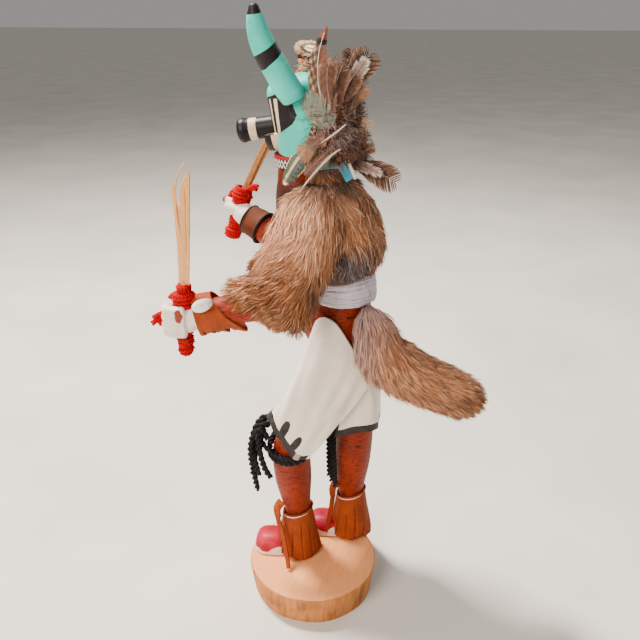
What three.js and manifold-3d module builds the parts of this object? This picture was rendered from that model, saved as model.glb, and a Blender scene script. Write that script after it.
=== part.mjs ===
// A carved and dressed kachina doll on a wooden disc, 380 mm high to the tip of its taller horn.
// Millimetres, +Z up. The figure faces -Y and its left side is +X. The origin is the centre of
// the disc's underside. A station of a tube is [x, y, z, half width, half depth].
import * as THREE from 'three';
import { mergeVertices } from 'three/addons/utils/BufferGeometryUtils.js';
import Module from 'manifold-3d';

const wasm = await Module();
wasm.setup();

// ---- driving dimensions ----
const GAP = 0.35; // clearance left between pieces that touch
const SLACK = 0.16; // detail finer than this is smoothed out of a cut body
const BASE = { radius: 45, height: 22, bevel: 3, under: 42, foot: 1, sides: 26 };
const SOLE_Z = BASE.height + 0.3;
const MOCCASIN = { heel: 8.4, toe: 12.5, width: 10.2, length: 40, heelBack: 9.5, toeOut: 0.17 };
const ANKLE = { left: [-3.6, -12.0], right: [-32.9, 19.3], tieZ: 54.6 };
const FRINGE = { collarZ: 58.4, tieR: 11.2, hemR: 17, hemZ: 23.6, wall: 1.1, slits: 5, slitTop: 40 };
const SHEET = 1.2; // leather of the kilt
const SASH = { low: 214.5, high: 232.5, turns: 4, thick: 2.6 };
const YARN = 2; // radius of the black garter yarn
const MASK = { centre: [-11.7, -2.8, 321], radius: 22, below: -22, above: 24.5, lean: 0.2, chinZ: 302.6 };
const SNOUT = { yaw: 0.17, dip: 0.15, length: 21.5, radius: 5.9, flare: 6.8, z: 320.2 };
const LIP = { radius: 11, wall: 2.2, out: 3.2, sweep: 2.5 };
const NECK_BAND = { low: 295.4, high: 302, neck: 12.8, wall: 1.8 };
const SHELL = { at: [49.6, -47.4, 227.6], length: 12.5, width: 7.8, height: 4.2 };
const WHIP = { strip: [1.8, 0.8], hole: 3.1, mouth: 4.9 };

const COLOURS = {
  pine: 0xd9a877, skin: 0xa5422a, crimson: 0xb3203f, hide: 0x9a4a28, thread: 0xe9dcd0, black: 0x17161a,
  kilt: 0xe8e0d6, sash: 0xdcd6e2, fur: 0x9c7350, tail: 0xa8754a, shell: 0xe7e2dc, redYarn: 0xc01420,
  yucca: 0xd9ae78, turquoise: 0x5fd0c0, feather: 0x6e5a50, band: 0x2a1c1c,
};

// ---- solids from meshes ----
function toSolid(geometry) {
  const bare = geometry.clone();
  bare.deleteAttribute('normal');
  bare.deleteAttribute('uv');
  const merged = mergeVertices(bare, 1e-4);
  const mesh = new wasm.Mesh({
    numProp: 3,
    vertProperties: new Float32Array(merged.attributes.position.array),
    triVerts: new Uint32Array(merged.index.array),
  });
  return new wasm.Manifold(mesh);
}

function fromSolid(solid) {
  const mesh = solid.getMesh();
  const geometry = new THREE.BufferGeometry();
  const places = new Float32Array(mesh.vertProperties);
  geometry.setAttribute('position', new THREE.BufferAttribute(places, 3));
  geometry.setIndex(new THREE.BufferAttribute(new Uint32Array(mesh.triVerts), 1));
  return geometry;
}

function join(...geometries) {
  return fromSolid(geometries.map(toSolid).reduce((all, next) => all.add(next)));
}

// The main body left by the cuts; slivers they part from it are dropped.
function cut(geometry, ...tools) {
  const left = tools.map(toSolid).reduce((body, tool) => body.subtract(tool), toSolid(geometry));
  const bodies = left.decompose().sort((a, b) => b.volume() - a.volume());
  return fromSolid(bodies[0].simplify(SLACK));
}

function indexed(points, faces) {
  const geometry = new THREE.BufferGeometry();
  const places = points.flatMap((p) => [p.x, p.y, p.z]);
  geometry.setAttribute('position', new THREE.Float32BufferAttribute(places, 3));
  geometry.setIndex(faces.flat());
  return geometry;
}

// ---- tubes: rings of an ellipse carried along a path, closed by a fan at each end ----
const vec = (p) => new THREE.Vector3(p[0], p[1], p[2]);

// Catmull-Rom through rows of numbers, at a place counted in rows.
function between(rows, place) {
  const last = rows.length - 1;
  const i = Math.min(last - 1, Math.floor(place));
  const t = place - i;
  const [a, b, c, d] = [i - 1, i, i + 1, i + 2].map((k) => rows[Math.min(last, Math.max(0, k))]);
  return b.map((value, n) => 0.5 * (2 * value + (c[n] - a[n]) * t
    + (2 * a[n] - 5 * value + 4 * c[n] - d[n]) * t * t
    + (3 * value - a[n] - 3 * c[n] + d[n]) * t * t * t));
}

// Options: sides, side (direction of the half width), upright (rings stay level), grow (added to
// every radius and to both ends), domes (depth of the rounded start and end).
function tube(stations, options = {}) {
  const { sides = 12, side = [1, 0, 0], upright = false, grow = 0, domes = [0, 0] } = options;
  const centres = stations.map(vec);
  const last = stations.length - 1;
  const rings = [];
  const frames = stations.map((station, i) => {
    const along = upright ? new THREE.Vector3(0, 0, Math.sign(centres[last].z - centres[0].z))
      : centres[Math.min(last, i + 1)].clone().sub(centres[Math.max(0, i - 1)]).normalize();
    const across = vec(side).addScaledVector(along, -vec(side).dot(along)).normalize();
    return { along, across, over: along.clone().cross(across), a: station[3] + grow, b: station[4] + grow };
  });
  const ring = (i, shift, scale) => {
    const { along, across, over, a, b } = frames[i];
    const centre = centres[i].clone().addScaledVector(along, shift);
    rings.push(Array.from({ length: sides }, (_, k) => {
      const angle = (2 * Math.PI * k) / sides;
      return centre.clone()
        .addScaledVector(across, a * scale * Math.cos(angle))
        .addScaledVector(over, b * scale * Math.sin(angle));
    }));
  };
  const dome = [[0.72, 0.7]];
  if (domes[0]) [...dome].reverse().forEach(([scale, depth]) => ring(0, -grow - domes[0] * depth, scale));
  ring(0, domes[0] ? 0 : -grow, 1);
  for (let i = 1; i < last; i += 1) ring(i, 0, 1);
  ring(last, domes[1] ? 0 : grow, 1);
  if (domes[1]) dome.forEach(([scale, depth]) => ring(last, grow + domes[1] * depth, scale));
  const points = rings.flat();
  const faces = [];
  for (let i = 0; i + 1 < rings.length; i += 1) {
    for (let k = 0; k < sides; k += 1) {
      const next = (k + 1) % sides;
      const [a, b, c, d] = [i * sides + k, i * sides + next, (i + 1) * sides + next, (i + 1) * sides + k];
      faces.push([a, b, c], [a, c, d]);
    }
  }
  const start = points.length;
  points.push(centres[0].clone().addScaledVector(frames[0].along, -grow - domes[0]));
  points.push(centres[last].clone().addScaledVector(frames[last].along, grow + domes[1]));
  const top = (rings.length - 1) * sides;
  for (let k = 0; k < sides; k += 1) {
    const next = (k + 1) % sides;
    faces.push([start, next, k], [start + 1, top + k, top + next]);
  }
  return indexed(points, faces);
}

// A sheet of even thickness, its outer face given by surface(u, v) for u and v from 0 to 1.
function sheet(surface, columns, rows, thickness) {
  const points = [];
  const at = (layer, i, j) => layer * (columns + 1) * (rows + 1) + i * (rows + 1) + j;
  for (const layer of [0, 1]) {
    for (let i = 0; i <= columns; i += 1) {
      for (let j = 0; j <= rows; j += 1) {
        const [u, v, step] = [i / columns, j / rows, 0.01];
        const p = surface(u, v);
        const alongU = surface(Math.min(1, u + step), v).sub(surface(Math.max(0, u - step), v));
        const alongV = surface(u, Math.min(1, v + step)).sub(surface(u, Math.max(0, v - step)));
        const normal = alongU.cross(alongV).normalize();
        points.push(p.addScaledVector(normal, -thickness * layer));
      }
    }
  }
  const faces = [];
  const quad = (a, b, c, d) => faces.push([a, b, c], [a, c, d]);
  for (let i = 0; i < columns; i += 1) {
    for (let j = 0; j < rows; j += 1) {
      quad(at(0, i, j), at(0, i + 1, j), at(0, i + 1, j + 1), at(0, i, j + 1));
      quad(at(1, i, j), at(1, i, j + 1), at(1, i + 1, j + 1), at(1, i + 1, j));
    }
    quad(at(0, i, 0), at(1, i, 0), at(1, i + 1, 0), at(0, i + 1, 0));
    quad(at(0, i, rows), at(0, i + 1, rows), at(1, i + 1, rows), at(1, i, rows));
  }
  for (let j = 0; j < rows; j += 1) {
    quad(at(0, 0, j), at(0, 0, j + 1), at(1, 0, j + 1), at(1, 0, j));
    quad(at(0, columns, j), at(1, columns, j), at(1, columns, j + 1), at(0, columns, j + 1));
  }
  return indexed(points, faces);
}

function box(width, depth, height, x, y, z) {
  return new THREE.BoxGeometry(width, depth, height).translate(x, y, z);
}

function lathe(profile, sides) {
  const points = profile.map(([radius, z]) => new THREE.Vector2(radius, z));
  return new THREE.LatheGeometry(points, sides).rotateX(Math.PI / 2);
}

// A closed ring of round yarn about a level axis, its plane tipped by the two slopes.
function yarnRing([x, y, z], ringRadius, radius, sides, slopes = [0, 0]) {
  return new THREE.TorusGeometry(ringRadius, radius, 4, sides)
    .scale(1, 1 / Math.cos(slopes[0]), 1).rotateX(slopes[0]).rotateY(slopes[1]).translate(x, y, z);
}

// ---- the part ----
const doll = new THREE.Group();
doll.name = 'kachina_doll';

function add(name, geometry, colour, roughness = 0.8) {
  const material = new THREE.MeshStandardMaterial({ color: colour, roughness, metalness: 0 });
  const mesh = new THREE.Mesh(geometry, material);
  mesh.name = name;
  doll.add(mesh);
}

// ---- base ----
const { radius: R, height: H, bevel: B, under: U, foot: F } = BASE;
const baseProfile = [
  [0, 0], [U - F, 0], [U, F], [R, H - B], [R - 0.3 * B, H - 0.3 * B], [R - B, H], [0, H],
];
add('base_disc', lathe(baseProfile, BASE.sides), COLOURS.pine);

// ---- carved figure: torso and legs ----
const LEG_LOW = SOLE_Z + MOCCASIN.heel + 0.4;
const TORSO = [
  [-19.5, 11.5, 178, 18, 13.5],
  [-20, 12.5, 194, 22, 19.5],
  [-21, 14, 206, 20.3, 18.3],
  [-21, 14.5, 216, 18.6, 17.2],
  [-20.5, 12, 230, 20.5, 18],
  [-19, 4, 248, 24.5, 19.5],
  [-17, -3.5, 264, 26, 20.5],
  [-15.5, -6.5, 277, 22.5, 18.5],
  [-13.2, -9.5, 286.5, 15.5, 14],
  [-12.3, -10.3, 293, 12.8, 12.6],
  [-12, -9.8, 306, 12, 12],
];
const LEFT_LEG = [
  [...ANKLE.left, LEG_LOW, 8.9, 9.4],
  [ANKLE.left[0], ANKLE.left[1], 57, 8.7, 9],
  [-1.6, -12.8, 69, 9.9, 10.4],
  [1.4, -13.3, 88, 12, 12.5],
  [5.2, -12.3, 114, 12.4, 12.6],
  [2.4, -5, 137, 12.6, 12.8],
  [-4.5, 7, 163, 13.4, 13.6],
  [-9.5, 11.5, 190, 13.5, 15],
];
const RIGHT_LEG = [
  [...ANKLE.right, LEG_LOW, 8.9, 9.4],
  [ANKLE.right[0], ANKLE.right[1], 57, 8.7, 9],
  [-31.4, 18.9, 69, 10.6, 11],
  [-30, 20, 88, 12.9, 13],
  [-28.8, 21.4, 112, 13.2, 13.2],
  [-28.4, 20.4, 140, 13.4, 14],
  [-28.8, 17.6, 165, 13.4, 15],
  [-29.4, 14.5, 190, 13.2, 16],
];
function torso(grow, sides = 16) {
  return tube(TORSO, { sides, upright: true, grow });
}
function legs(grow) {
  const leg = (stations) => tube(stations, { sides: 10, upright: true, grow });
  return join(leg(LEFT_LEG), leg(RIGHT_LEG));
}
add('carved_figure', join(torso(0), legs(0)), COLOURS.skin);

// ---- feet, fringes and ties ----
function moccasin([x, y]) {
  const { heel, toe, width, length, heelBack, toeOut } = MOCCASIN;
  const along = [Math.sin(toeOut), -Math.cos(toeOut)];
  const shape = [[0, 0.6, heel], [0.1, 0.84, heel], [0.42, 0.9, heel], [0.62, 1, toe], [0.86, 0.98, toe],
    [1, 0.66, toe * 0.8]];
  const stations = shape.map(([t, w, top]) => {
    const run = t * length - heelBack;
    return [x + along[0] * run, y + along[1] * run, SOLE_Z, width * w, top];
  });
  const floor = box(90, 90, 40, x, y, SOLE_Z - 20);
  const seat = [[x, y, SOLE_Z + heel, 11, 12.4], [x, y, 60, 11, 12.4]];
  const heelSeat = tube(seat, { upright: true, sides: 10 });
  return cut(tube(stations, { sides: 12, domes: [1, 1.6] }), floor, heelSeat);
}

function grownMoccasin(spot) {
  return moccasin(spot).translate(-spot[0], -spot[1], -SOLE_Z).scale(1.04, 1.02, 1.05)
    .translate(spot[0], spot[1] + 0.2, SOLE_Z - 0.3);
}

function ankleFringe([x, y]) {
  const { collarZ, tieR, hemR, hemZ, wall, slits, slitTop } = FRINGE;
  const rings = [[tieR + 1.4, collarZ], [tieR, ANKLE.tieZ], [tieR + 1.6, 47], [hemR, hemZ]];
  const inner = rings.map(([radius, z]) => [radius - wall, z]).reverse();
  const cone = lathe([...rings, ...inner, rings[0]].reverse(), 14).translate(x, y, 0);
  const cuts = Array.from({ length: slits }, (_, k) => box(0.9, 12, slitTop - hemZ + 10, 0, 16, 0)
    .translate(0, 0, (slitTop + hemZ - 10 + (k % 3) * 3) / 2)
    .rotateZ((2 * Math.PI * (k + 0.3)) / slits)
    .translate(x, y, 0));
  return cut(cone, ...cuts);
}

function ankleTie([x, y]) {
  return yarnRing([x, y, ANKLE.tieZ], FRINGE.tieR + 1.15, 0.75, 12);
}

// ---- garters: one ring of black yarn under the knee, its knot and hanging ends ----
function strand(points, radius) {
  return tube(points.map((p) => [...p, radius, radius]), { sides: 4 });
}

function leftGarter() {
  const rings = [116, 112.6].map((z) => yarnRing([5, -12.2, z], 15.3, YARN, 12, [-0.42, 0.06]));
  const knot = tube([[9, -28, 121, 2.4, 2.4], [13, -30.6, 126, 4, 3.6], [15, -31.8, 131.5, 4, 3.4]],
    { sides: 6, domes: [0, 2] });
  const ends = [
    strand([[14, -31, 129], [20, -33.5, 124], [23.4, -35.5, 108], [21.6, -36.6, 97.5]], YARN),
    strand([[13.5, -31, 127], [17.5, -34.5, 118], [20.5, -34, 103], [23.2, -30.6, 88.4]], YARN),
    strand([[12, -30, 124], [17.5, -29.6, 116], [21, -26, 106], [20.6, -21.4, 98.2]], YARN),
  ];
  return join(...rings, knot, ...ends);
}

function rightGarter() {
  const ring = yarnRing([-28.6, 20.9, 126.5], 15.5, 1.4, 12);
  const ends = [
    strand([[-15.5, 11.5, 126.5], [-13.6, 11, 112], [-13.4, 11.5, 92], [-13, 12.5, 74]], YARN),
    strand([[-19, 8.2, 126.5], [-16.8, 6.6, 111], [-16.4, 6.6, 95], [-15.6, 7.4, 80]], YARN),
  ];
  return join(ring, ...ends);
}

const sideLegs = { left: ANKLE.left, right: ANKLE.right };
for (const [name, spot] of Object.entries(sideLegs)) {
  add(`${name}_moccasin`, moccasin(spot), COLOURS.crimson, 0.6);
  add(`${name}_ankle_fringe`, cut(ankleFringe(spot), grownMoccasin(spot)), COLOURS.hide);
  add(`${name}_ankle_tie`, ankleTie(spot), COLOURS.thread);
}
add('left_knee_yarn', leftGarter(), COLOURS.black);
add('right_knee_yarn', rightGarter(), COLOURS.black);

// ---- kilt: a sheet wrapped round the hips from its free left edge, forwards, to its inner edge ----
// Each row: waist point, hem point, and how far the middle stands out.
const KILT = [
  [[-3.6, 35.5, 161], [17.5, 3, 112.2], 1],
  [[-0.6, 26.5, 188], [20.8, -8.5, 121.5], 4],
  [[2.2, 14.5, 206], [20.5, -18, 130], 4],
  [[1, 0, 206.5], [12.5, -26.5, 138.4], -6],
  [[-18, -11, 191], [-10, -29.5, 139], -5],
  [[-38.5, -5, 198.5], [-36, -20, 134], -1.5],
  [[-44, 12, 206], [-49.5, 7, 127], 1],
  [[-39.5, 26.5, 203.5], [-46, 33, 122.5], 1.5],
  [[-24, 36, 201], [-26.5, 40.2, 121.5], 1],
  [[-9.5, 33.5, 197.5], [-10, 37, 126], 1],
  [[-5.2, 30.5, 193], [-1, 27.5, 127.5], 0.5],
];
function kiltSurface(u, v) {
  const row = between(KILT.map((entry) => entry.flat()), u * (KILT.length - 1));
  const top = new THREE.Vector3(...row.slice(0, 3));
  const hem = new THREE.Vector3(...row.slice(3, 6));
  const middle = top.clone().lerp(hem, v);
  const outward = new THREE.Vector3(middle.x + 20, middle.y - 6, 0).normalize();
  return middle.addScaledVector(outward, row[6] * 4 * v * (1 - v));
}
add('kilt', sheet(kiltSurface, 20, 4, SHEET), COLOURS.kilt, 0.7);

// ---- sash: turns of yarn round the waist ----
function torsoSection(z) {
  const i = Math.max(0, TORSO.findIndex((level) => level[2] >= z) - 1);
  const t = (z - TORSO[i][2]) / (TORSO[i + 1][2] - TORSO[i][2]);
  return TORSO[i].map((value, n) => value + (TORSO[i + 1][n] - value) * t);
}
function wrap(low, high, steps, thickness) {
  return Array.from({ length: steps + 1 }, (_, k) => {
    const z = low + ((high - low) * k) / steps;
    const [x, y, , a, b] = torsoSection(z);
    return [x, y, z, a + thickness(k), b + thickness(k)];
  });
}
const ridged = (k) => SASH.thick - (k % 2 ? 0 : 0.8);
const sashBody = tube(wrap(SASH.low, SASH.high, SASH.turns * 2, ridged), { sides: 14, upright: true });
add('waist_sash', cut(sashBody, torso(1.2, 14)), COLOURS.sash);

// ---- arms with their hands ----
const LEFT_ARM = [
  [6, -1, 272, 9.5, 10], [13.5, -1.5, 256, 10, 10.5], [20.5, -4, 238, 10, 10.2],
  [24.5, -9.5, 227.5, 9.6, 9.8], [30, -23, 223.8, 9, 9], [35, -36, 222, 8.5, 8.5],
  [39.5, -51, 219.6, 7.4, 7.4], [40.6, -56, 218.8, 7.2, 7.6],
];
const RIGHT_ARM = [
  [-40.5, -3, 270, 9.5, 10], [-46, -7, 256, 9.6, 10], [-47, -14, 245, 9.4, 9.6], [-44.5, -24, 241.5, 9, 9],
  [-41.6, -38, 243.2, 8.8, 8.8], [-44, -49, 247.5, 8.2, 8.2], [-46.6, -56, 250.3, 7.2, 7.2],
];
const LEFT_GRIP = [[43.2, -63.4, 190], [42.6, -61.6, 236]];
const RIGHT_GRIP = [[-50, -71.4, 236], [-52.8, -62.4, 268.5]];
function gripHole(grip, radius) {
  return tube(grip.map((p) => [...p, radius, radius]), { sides: 8 });
}
function leftArm(grow) {
  const arm = tube(LEFT_ARM, { sides: 8, side: [1, 0.4, 0], grow });
  const fist = tube([[41, -54.5, 218.6, 7.4, 7.8], [42, -59, 217.4, 7.8, 9.6], [43.6, -66, 216, 7.8, 10.4],
    [45, -71.5, 214.8, 7, 9.6]], { sides: 9, side: [1, 0.3, 0], grow, domes: [0, 2.6] });
  return join(arm, fist);
}
function rightArm(grow) {
  const arm = tube(RIGHT_ARM, { sides: 8, grow });
  const fist = tube([[-46.2, -55, 250, 7, 7], [-48.6, -60, 252.5, 7.4, 7.6], [-51, -65.5, 255.5, 7.2, 7.4],
    [-52.4, -69.5, 257.4, 6, 6.2]], { sides: 9, grow, domes: [0, 2.2] });
  const finger = tube([[-48, -60, 256, 2.2, 2.2], [-49.8, -68, 259, 2, 2], [-51.2, -75.5, 261.2, 1.6, 1.6]],
    { sides: 6, grow, domes: [0, 1.2] });
  return join(arm, fist, finger);
}
// Grooves between the fingers of the left fist, on its outer side and front.
function fingerGrooves() {
  return [-4.6, 0, 4.6].map((height) => box(6, 16, 1.2, 53.4, -68, 215.6 + height));
}
const leftBare = cut(leftArm(0), torso(GAP), gripHole(LEFT_GRIP, WHIP.hole + 0.4), ...fingerGrooves());
const rightBare = cut(rightArm(0), torso(GAP), gripHole(RIGHT_GRIP, WHIP.hole + 0.4));
add('left_arm', leftBare, COLOURS.skin);
add('right_arm', rightBare, COLOURS.skin);

// ---- cuffs: leather bands, the left one with a long slit tail and a shell ----
function leftCuff(grow) {
  const stations = [[35.2, -41, 221.6, 10, 10.6], [38.6, -49.5, 220.4, 9.8, 10.6],
    [40.2, -55, 219.6, 9.6, 10.8]];
  const band = tube(stations, { sides: 9, side: [1, 0.4, 0], grow });
  const tail = tube([[33, -33.5, 206.4, 1, 2.4], [36.5, -42, 209.5, 3.4, 6], [41, -53.5, 208.8, 4.8, 4.6]],
    { sides: 6, side: [1, 0.4, 0], grow });
  const slits = [0.2, 0.6].map((t) => box(30, 0.9, 5, 36, -38 - 19 * t, 204.6));
  return cut(join(band, tail), leftArm(GAP), ...slits);
}
function rightCuff() {
  const stations = [[-42.8, -43.5, 245.3, 10.6, 10.8], [-45, -51.5, 248.6, 9.8, 9.9],
    [-46.6, -56.5, 250.6, 8.8, 9]];
  return cut(tube(stations, { sides: 9 }), rightArm(GAP));
}
add('left_wrist_cuff', leftCuff(0), COLOURS.hide);
add('right_wrist_cuff', rightCuff(), COLOURS.hide);

// ---- whips, their handles through the fists, and the red yarn wound on them ----
function whip(grip, tips) {
  const [low, high] = grip;
  const strips = tips.map((tip, k) => {
    const lean = (k - (tips.length - 1) / 2) * 1.2;
    const root = vec(low).lerp(vec(high), 0.95).toArray();
    root[1] += lean;
    const bow = root.map((value, n) => value * 0.5 + tip[n] * 0.5);
    const [w, t] = WHIP.strip;
    const stations = [[...root, w, t + 0.4], [...bow, w, t], [...tip, w * 0.7, t * 0.8]];
    return tube(stations, { sides: 4, side: [0.3, 1, 0] });
  });
  return join(gripHole([low, high], WHIP.hole - 0.3), ...strips);
}
const LEFT_TIPS = [[40.4, -64, 292.5], [39.8, -60.6, 288], [39.4, -58.4, 294], [38.8, -55.8, 299.5]];
const RIGHT_TIPS = [[-56.4, -36.5, 318], [-55.4, -34.5, 321], [-54.2, -35.5, 317], [-53, -34.2, 322]];
function wound(grip, lumps, extras = []) {
  const [low, high] = grip.map(vec);
  const beads = lumps.map(([from, to, radius]) => {
    const ends = [from, to].map((t) => low.clone().lerp(high, t));
    const middle = ends[0].clone().lerp(ends[1], 0.5);
    const row = (p, r) => [p.x, p.y, p.z, r, r];
    const rows = [row(ends[0], radius * 0.8), row(middle, radius), row(ends[1], radius * 0.72)];
    return tube(rows, { sides: 6 });
  });
  return join(...beads, ...extras);
}
const leftTail = [
  strand([[41.8, -66, 231], [37.2, -73.5, 229], [36.4, -77.6, 221.5], [42.5, -79.6, 215.6],
    [47.6, -79.4, 214]], 1.7),
];
const leftYarn = wound(LEFT_GRIP, [[0.8, 1.03, 6.2]], leftTail);
const leftKnob = wound(LEFT_GRIP, [[0.03, 0.34, 4.9]],
  [strand([[42.8, -65, 199], [42, -71, 200.5], [41, -76.5, 204], [37.4, -79, 212], [36.6, -77.8, 220]], 1.7)]);
const rightYarn = wound(RIGHT_GRIP, [[0.04, 0.44, 4.8], [0.74, 1.04, 6.3]],
  [strand([[-55, -68, 245], [-60.2, -68, 250], [-60.8, -64.5, 258], [-56, -62.5, 264.5]], 1.7),
    strand([[-52, -60, 266], [-50.2, -55.5, 270], [-50.4, -52.5, 271.5]], 1.9)]);
add('left_whip', whip(LEFT_GRIP, LEFT_TIPS), COLOURS.yucca);
add('right_whip', whip(RIGHT_GRIP, RIGHT_TIPS), COLOURS.yucca);
// Room for a whip's handle through the yarn, widening where its strips begin.
function handleRoom([low, high], cupFrom) {
  const [from, to] = [vec(low), vec(high)];
  const at = (t, radius) => [...from.clone().lerp(to, t).toArray(), radius, radius];
  const hole = WHIP.hole + 0.1;
  const stations = [at(-0.1, hole), at(cupFrom, hole), at(cupFrom + 0.04, WHIP.mouth), at(1.1, WHIP.mouth)];
  return tube(stations, { sides: 8 });
}
const leftWinding = cut(join(leftYarn, leftKnob), handleRoom(LEFT_GRIP, 0.85), leftArm(GAP), leftCuff(GAP));
const rightWinding = cut(rightYarn, handleRoom(RIGHT_GRIP, 0.82), rightArm(GAP));
add('left_hand_yarn', leftWinding, COLOURS.redYarn);
add('right_hand_yarn', rightWinding, COLOURS.redYarn);

// ---- cowrie on the left cuff ----
const cowrie = new THREE.SphereGeometry(0.5, 10, 6)
  .scale(SHELL.height, SHELL.length, SHELL.width).rotateX(0.16).rotateZ(0.3).translate(...SHELL.at);
add('left_cuff_shell', cut(cowrie, leftCuff(GAP), leftArm(GAP)), COLOURS.shell, 0.3);

// ---- mask ----
function maskFrame(geometry) {
  return geometry.rotateX(MASK.lean).rotateZ(SNOUT.yaw).translate(...MASK.centre);
}
function mask(grow) {
  const { radius, below, above } = MASK;
  const edge = radius + grow;
  const round = 7;
  const top = above + grow;
  const low = below - 9 - grow;
  const profile = [[0, low], [edge - 0.6, low], [edge, 0], [edge - 0.4, top - round]];
  for (let k = 1; k < 3; k += 1) {
    const angle = (k / 3) * (Math.PI / 2);
    profile.push([edge - 0.4 - round * (1 - Math.cos(angle)), top - round + round * Math.sin(angle)]);
  }
  profile.push([edge - 0.4 - round, top], [0, top + 1.2]);
  return cut(maskFrame(lathe(profile, 18)), box(90, 90, 40, -10, 0, MASK.chinZ - grow - 20));
}
const ledge = [[17, -1, 8, 7, 6], [23.6, -1, 9, 6, 5.5]];
const hornLedge = maskFrame(tube(ledge, { sides: 10, side: [0, 1, 0], domes: [0, 1.6] }));
const socket = [[-12.3, -10.3, 290, 14, 14], [-12, -9.8, 306.6, 14, 14]];
const neckSocket = tube(socket, { upright: true, sides: 16 });

// ---- horns: curved, round, saddled on to the sides of the mask ----
const LEFT_HORN = [
  [13.4, -4.2, 332.4, 5.6, 5.6], [14.6, -5.4, 335.6, 6.8, 6.8], [16.6, -8.7, 342, 6.9, 6.9],
  [19.4, -12.4, 349.6, 6.9, 6.9], [22.3, -16.2, 357.5, 6.5, 6.5], [24.6, -18.6, 365, 5.8, 5.8],
  [26.2, -19.8, 372, 4.7, 4.7], [27, -20, 377.2, 2.9, 2.9],
];
const RIGHT_HORN = [
  [-37.4, -1.5, 318, 5.4, 5.4], [-37.6, -3, 322, 6.4, 6.4], [-37.6, -6, 330, 6.6, 6.6],
  [-37.2, -9.4, 339, 6.3, 6.3], [-35.6, -12.2, 348, 5.4, 5.4], [-33.6, -13.9, 355.6, 4, 4],
  [-32.6, -14.4, 358.6, 2.6, 2.6],
];
function horn(stations, grow) {
  return tube(stations, { sides: 10, grow, domes: [2, 2.6] });
}
add('left_horn', cut(horn(LEFT_HORN, 0), mask(GAP)), COLOURS.turquoise, 0.6);
add('right_horn', cut(horn(RIGHT_HORN, 0), mask(GAP)), COLOURS.turquoise, 0.6);
const maskBody = cut(join(mask(0), hornLedge), neckSocket, horn(LEFT_HORN, GAP));
add('mask_head', maskBody, COLOURS.turquoise, 0.6);

// ---- tube mouth and the carved lip under it ----
function faceFrame(geometry) {
  return geometry.rotateX(SNOUT.dip).rotateZ(SNOUT.yaw).translate(MASK.centre[0], MASK.centre[1] - 0.6, SNOUT.z);
}
function snout(grow) {
  const { length, radius, flare } = SNOUT;
  const front = MASK.radius + length;
  const profile = [[0, 10], [radius + grow, 10], [radius + grow, front - 12], [flare + grow, front - 2.4],
    [flare - 1.6 + grow, front], [0, front + 0.6]];
  return faceFrame(lathe(profile, 14).rotateX(Math.PI / 2));
}
function lip() {
  const { radius, wall, out, sweep } = LIP;
  const steps = 8;
  const arc = (r, k) => {
    const angle = -Math.PI / 2 - sweep / 2 + (sweep * k) / steps;
    return new THREE.Vector2(r * Math.cos(angle), r * Math.sin(angle));
  };
  const outline = Array.from({ length: steps + 1 }, (_, k) => arc(radius + wall, k));
  for (let k = steps; k >= 0; k -= 1) outline.push(arc(radius, k));
  const ring = new THREE.ExtrudeGeometry(new THREE.Shape(outline), { depth: out + 16, bevelEnabled: false });
  return faceFrame(ring.rotateX(Math.PI / 2).translate(0, -MASK.radius + 16, 0));
}
add('snout_tube', cut(snout(0), mask(GAP)), COLOURS.black, 0.5);
add('lower_lip', cut(lip(), mask(GAP), snout(GAP), torso(GAP)), COLOURS.black, 0.6);

// ---- painted band under the mask ----
const band = NECK_BAND.neck + NECK_BAND.wall;
const bandBody = tube([[-12.2, -10.2, NECK_BAND.low, band, band], [-12, -9.9, NECK_BAND.high, band, band]],
  { sides: 16, upright: true });
add('neck_collar', cut(bandBody, torso(GAP), mask(GAP)), COLOURS.band);

// ---- fur cape: the back and a wide sleeve over each upper arm ----
const BACK_FUR = [
  [-16, 13, 233, 30, 23], [-16.5, 13.5, 244, 33, 26], [-16.5, 13, 257, 33.5, 26.5],
  [-16, 11, 271, 33, 25.5], [-15, 8, 282, 28, 22], [-14, 5, 289, 18, 16],
];
const LEFT_SLEEVE = [
  [2, 2, 288, 9, 12], [7, 1, 279, 13, 19], [11, 0, 266, 15, 23], [16, -3, 251, 17, 26],
  [21, -7, 237, 17, 26], [24, -8.5, 225, 15.5, 22], [24.5, -8, 214, 12.5, 15], [23.5, -6, 207, 7, 8],
];
const LEFT_SLEEVE_END = [[24, -10, 231, 14, 14], [29, -24, 229, 12.5, 12.5], [32.6, -33, 227.5, 11, 11]];
const RIGHT_SLEEVE = [
  [-33, 2, 286, 9, 12], [-39, 0, 278, 12, 18], [-43, -2, 265, 14, 21], [-46.5, -5, 251, 15, 22],
  [-48, -8, 238, 14, 19], [-48, -9, 229, 10, 13],
];
const RIGHT_SLEEVE_END = [[-47, -12, 244, 13.5, 13.5], [-44.6, -25, 242, 12.5, 12.5]];
function furSleeve(stations, end, side) {
  const lobe = tube(stations, { sides: 9, upright: true });
  return join(lobe, tube(end, { sides: 8, side }));
}
const capeBody = join(
  tube(BACK_FUR, { sides: 12, upright: true, domes: [3, 2] }),
  furSleeve(LEFT_SLEEVE, LEFT_SLEEVE_END, [1, 0.4, 0]),
  furSleeve(RIGHT_SLEEVE, RIGHT_SLEEVE_END, [1, 0, 0]),
);
const sashReach = () => SASH.thick + 1.6;
const sashRoom = tube(wrap(SASH.low - 8, SASH.high + 0.4, 3, sashReach), { sides: 10, upright: true });
const chest = [[-20, -40, 222, 16, 26], [-16, -38, 250, 13, 24], [-14, -34, 278, 12, 20], [-13, -30, 296, 12, 18]];
const chestOpening = tube(chest, { sides: 8, upright: true });
const armRoom = [tube(LEFT_ARM, { sides: 6, side: [1, 0.4, 0], grow: 2 }), tube(RIGHT_ARM, { sides: 6, grow: 2 })];
const cape = cut(capeBody, torso(1.8, 10), sashRoom, chestOpening, ...armRoom);
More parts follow.
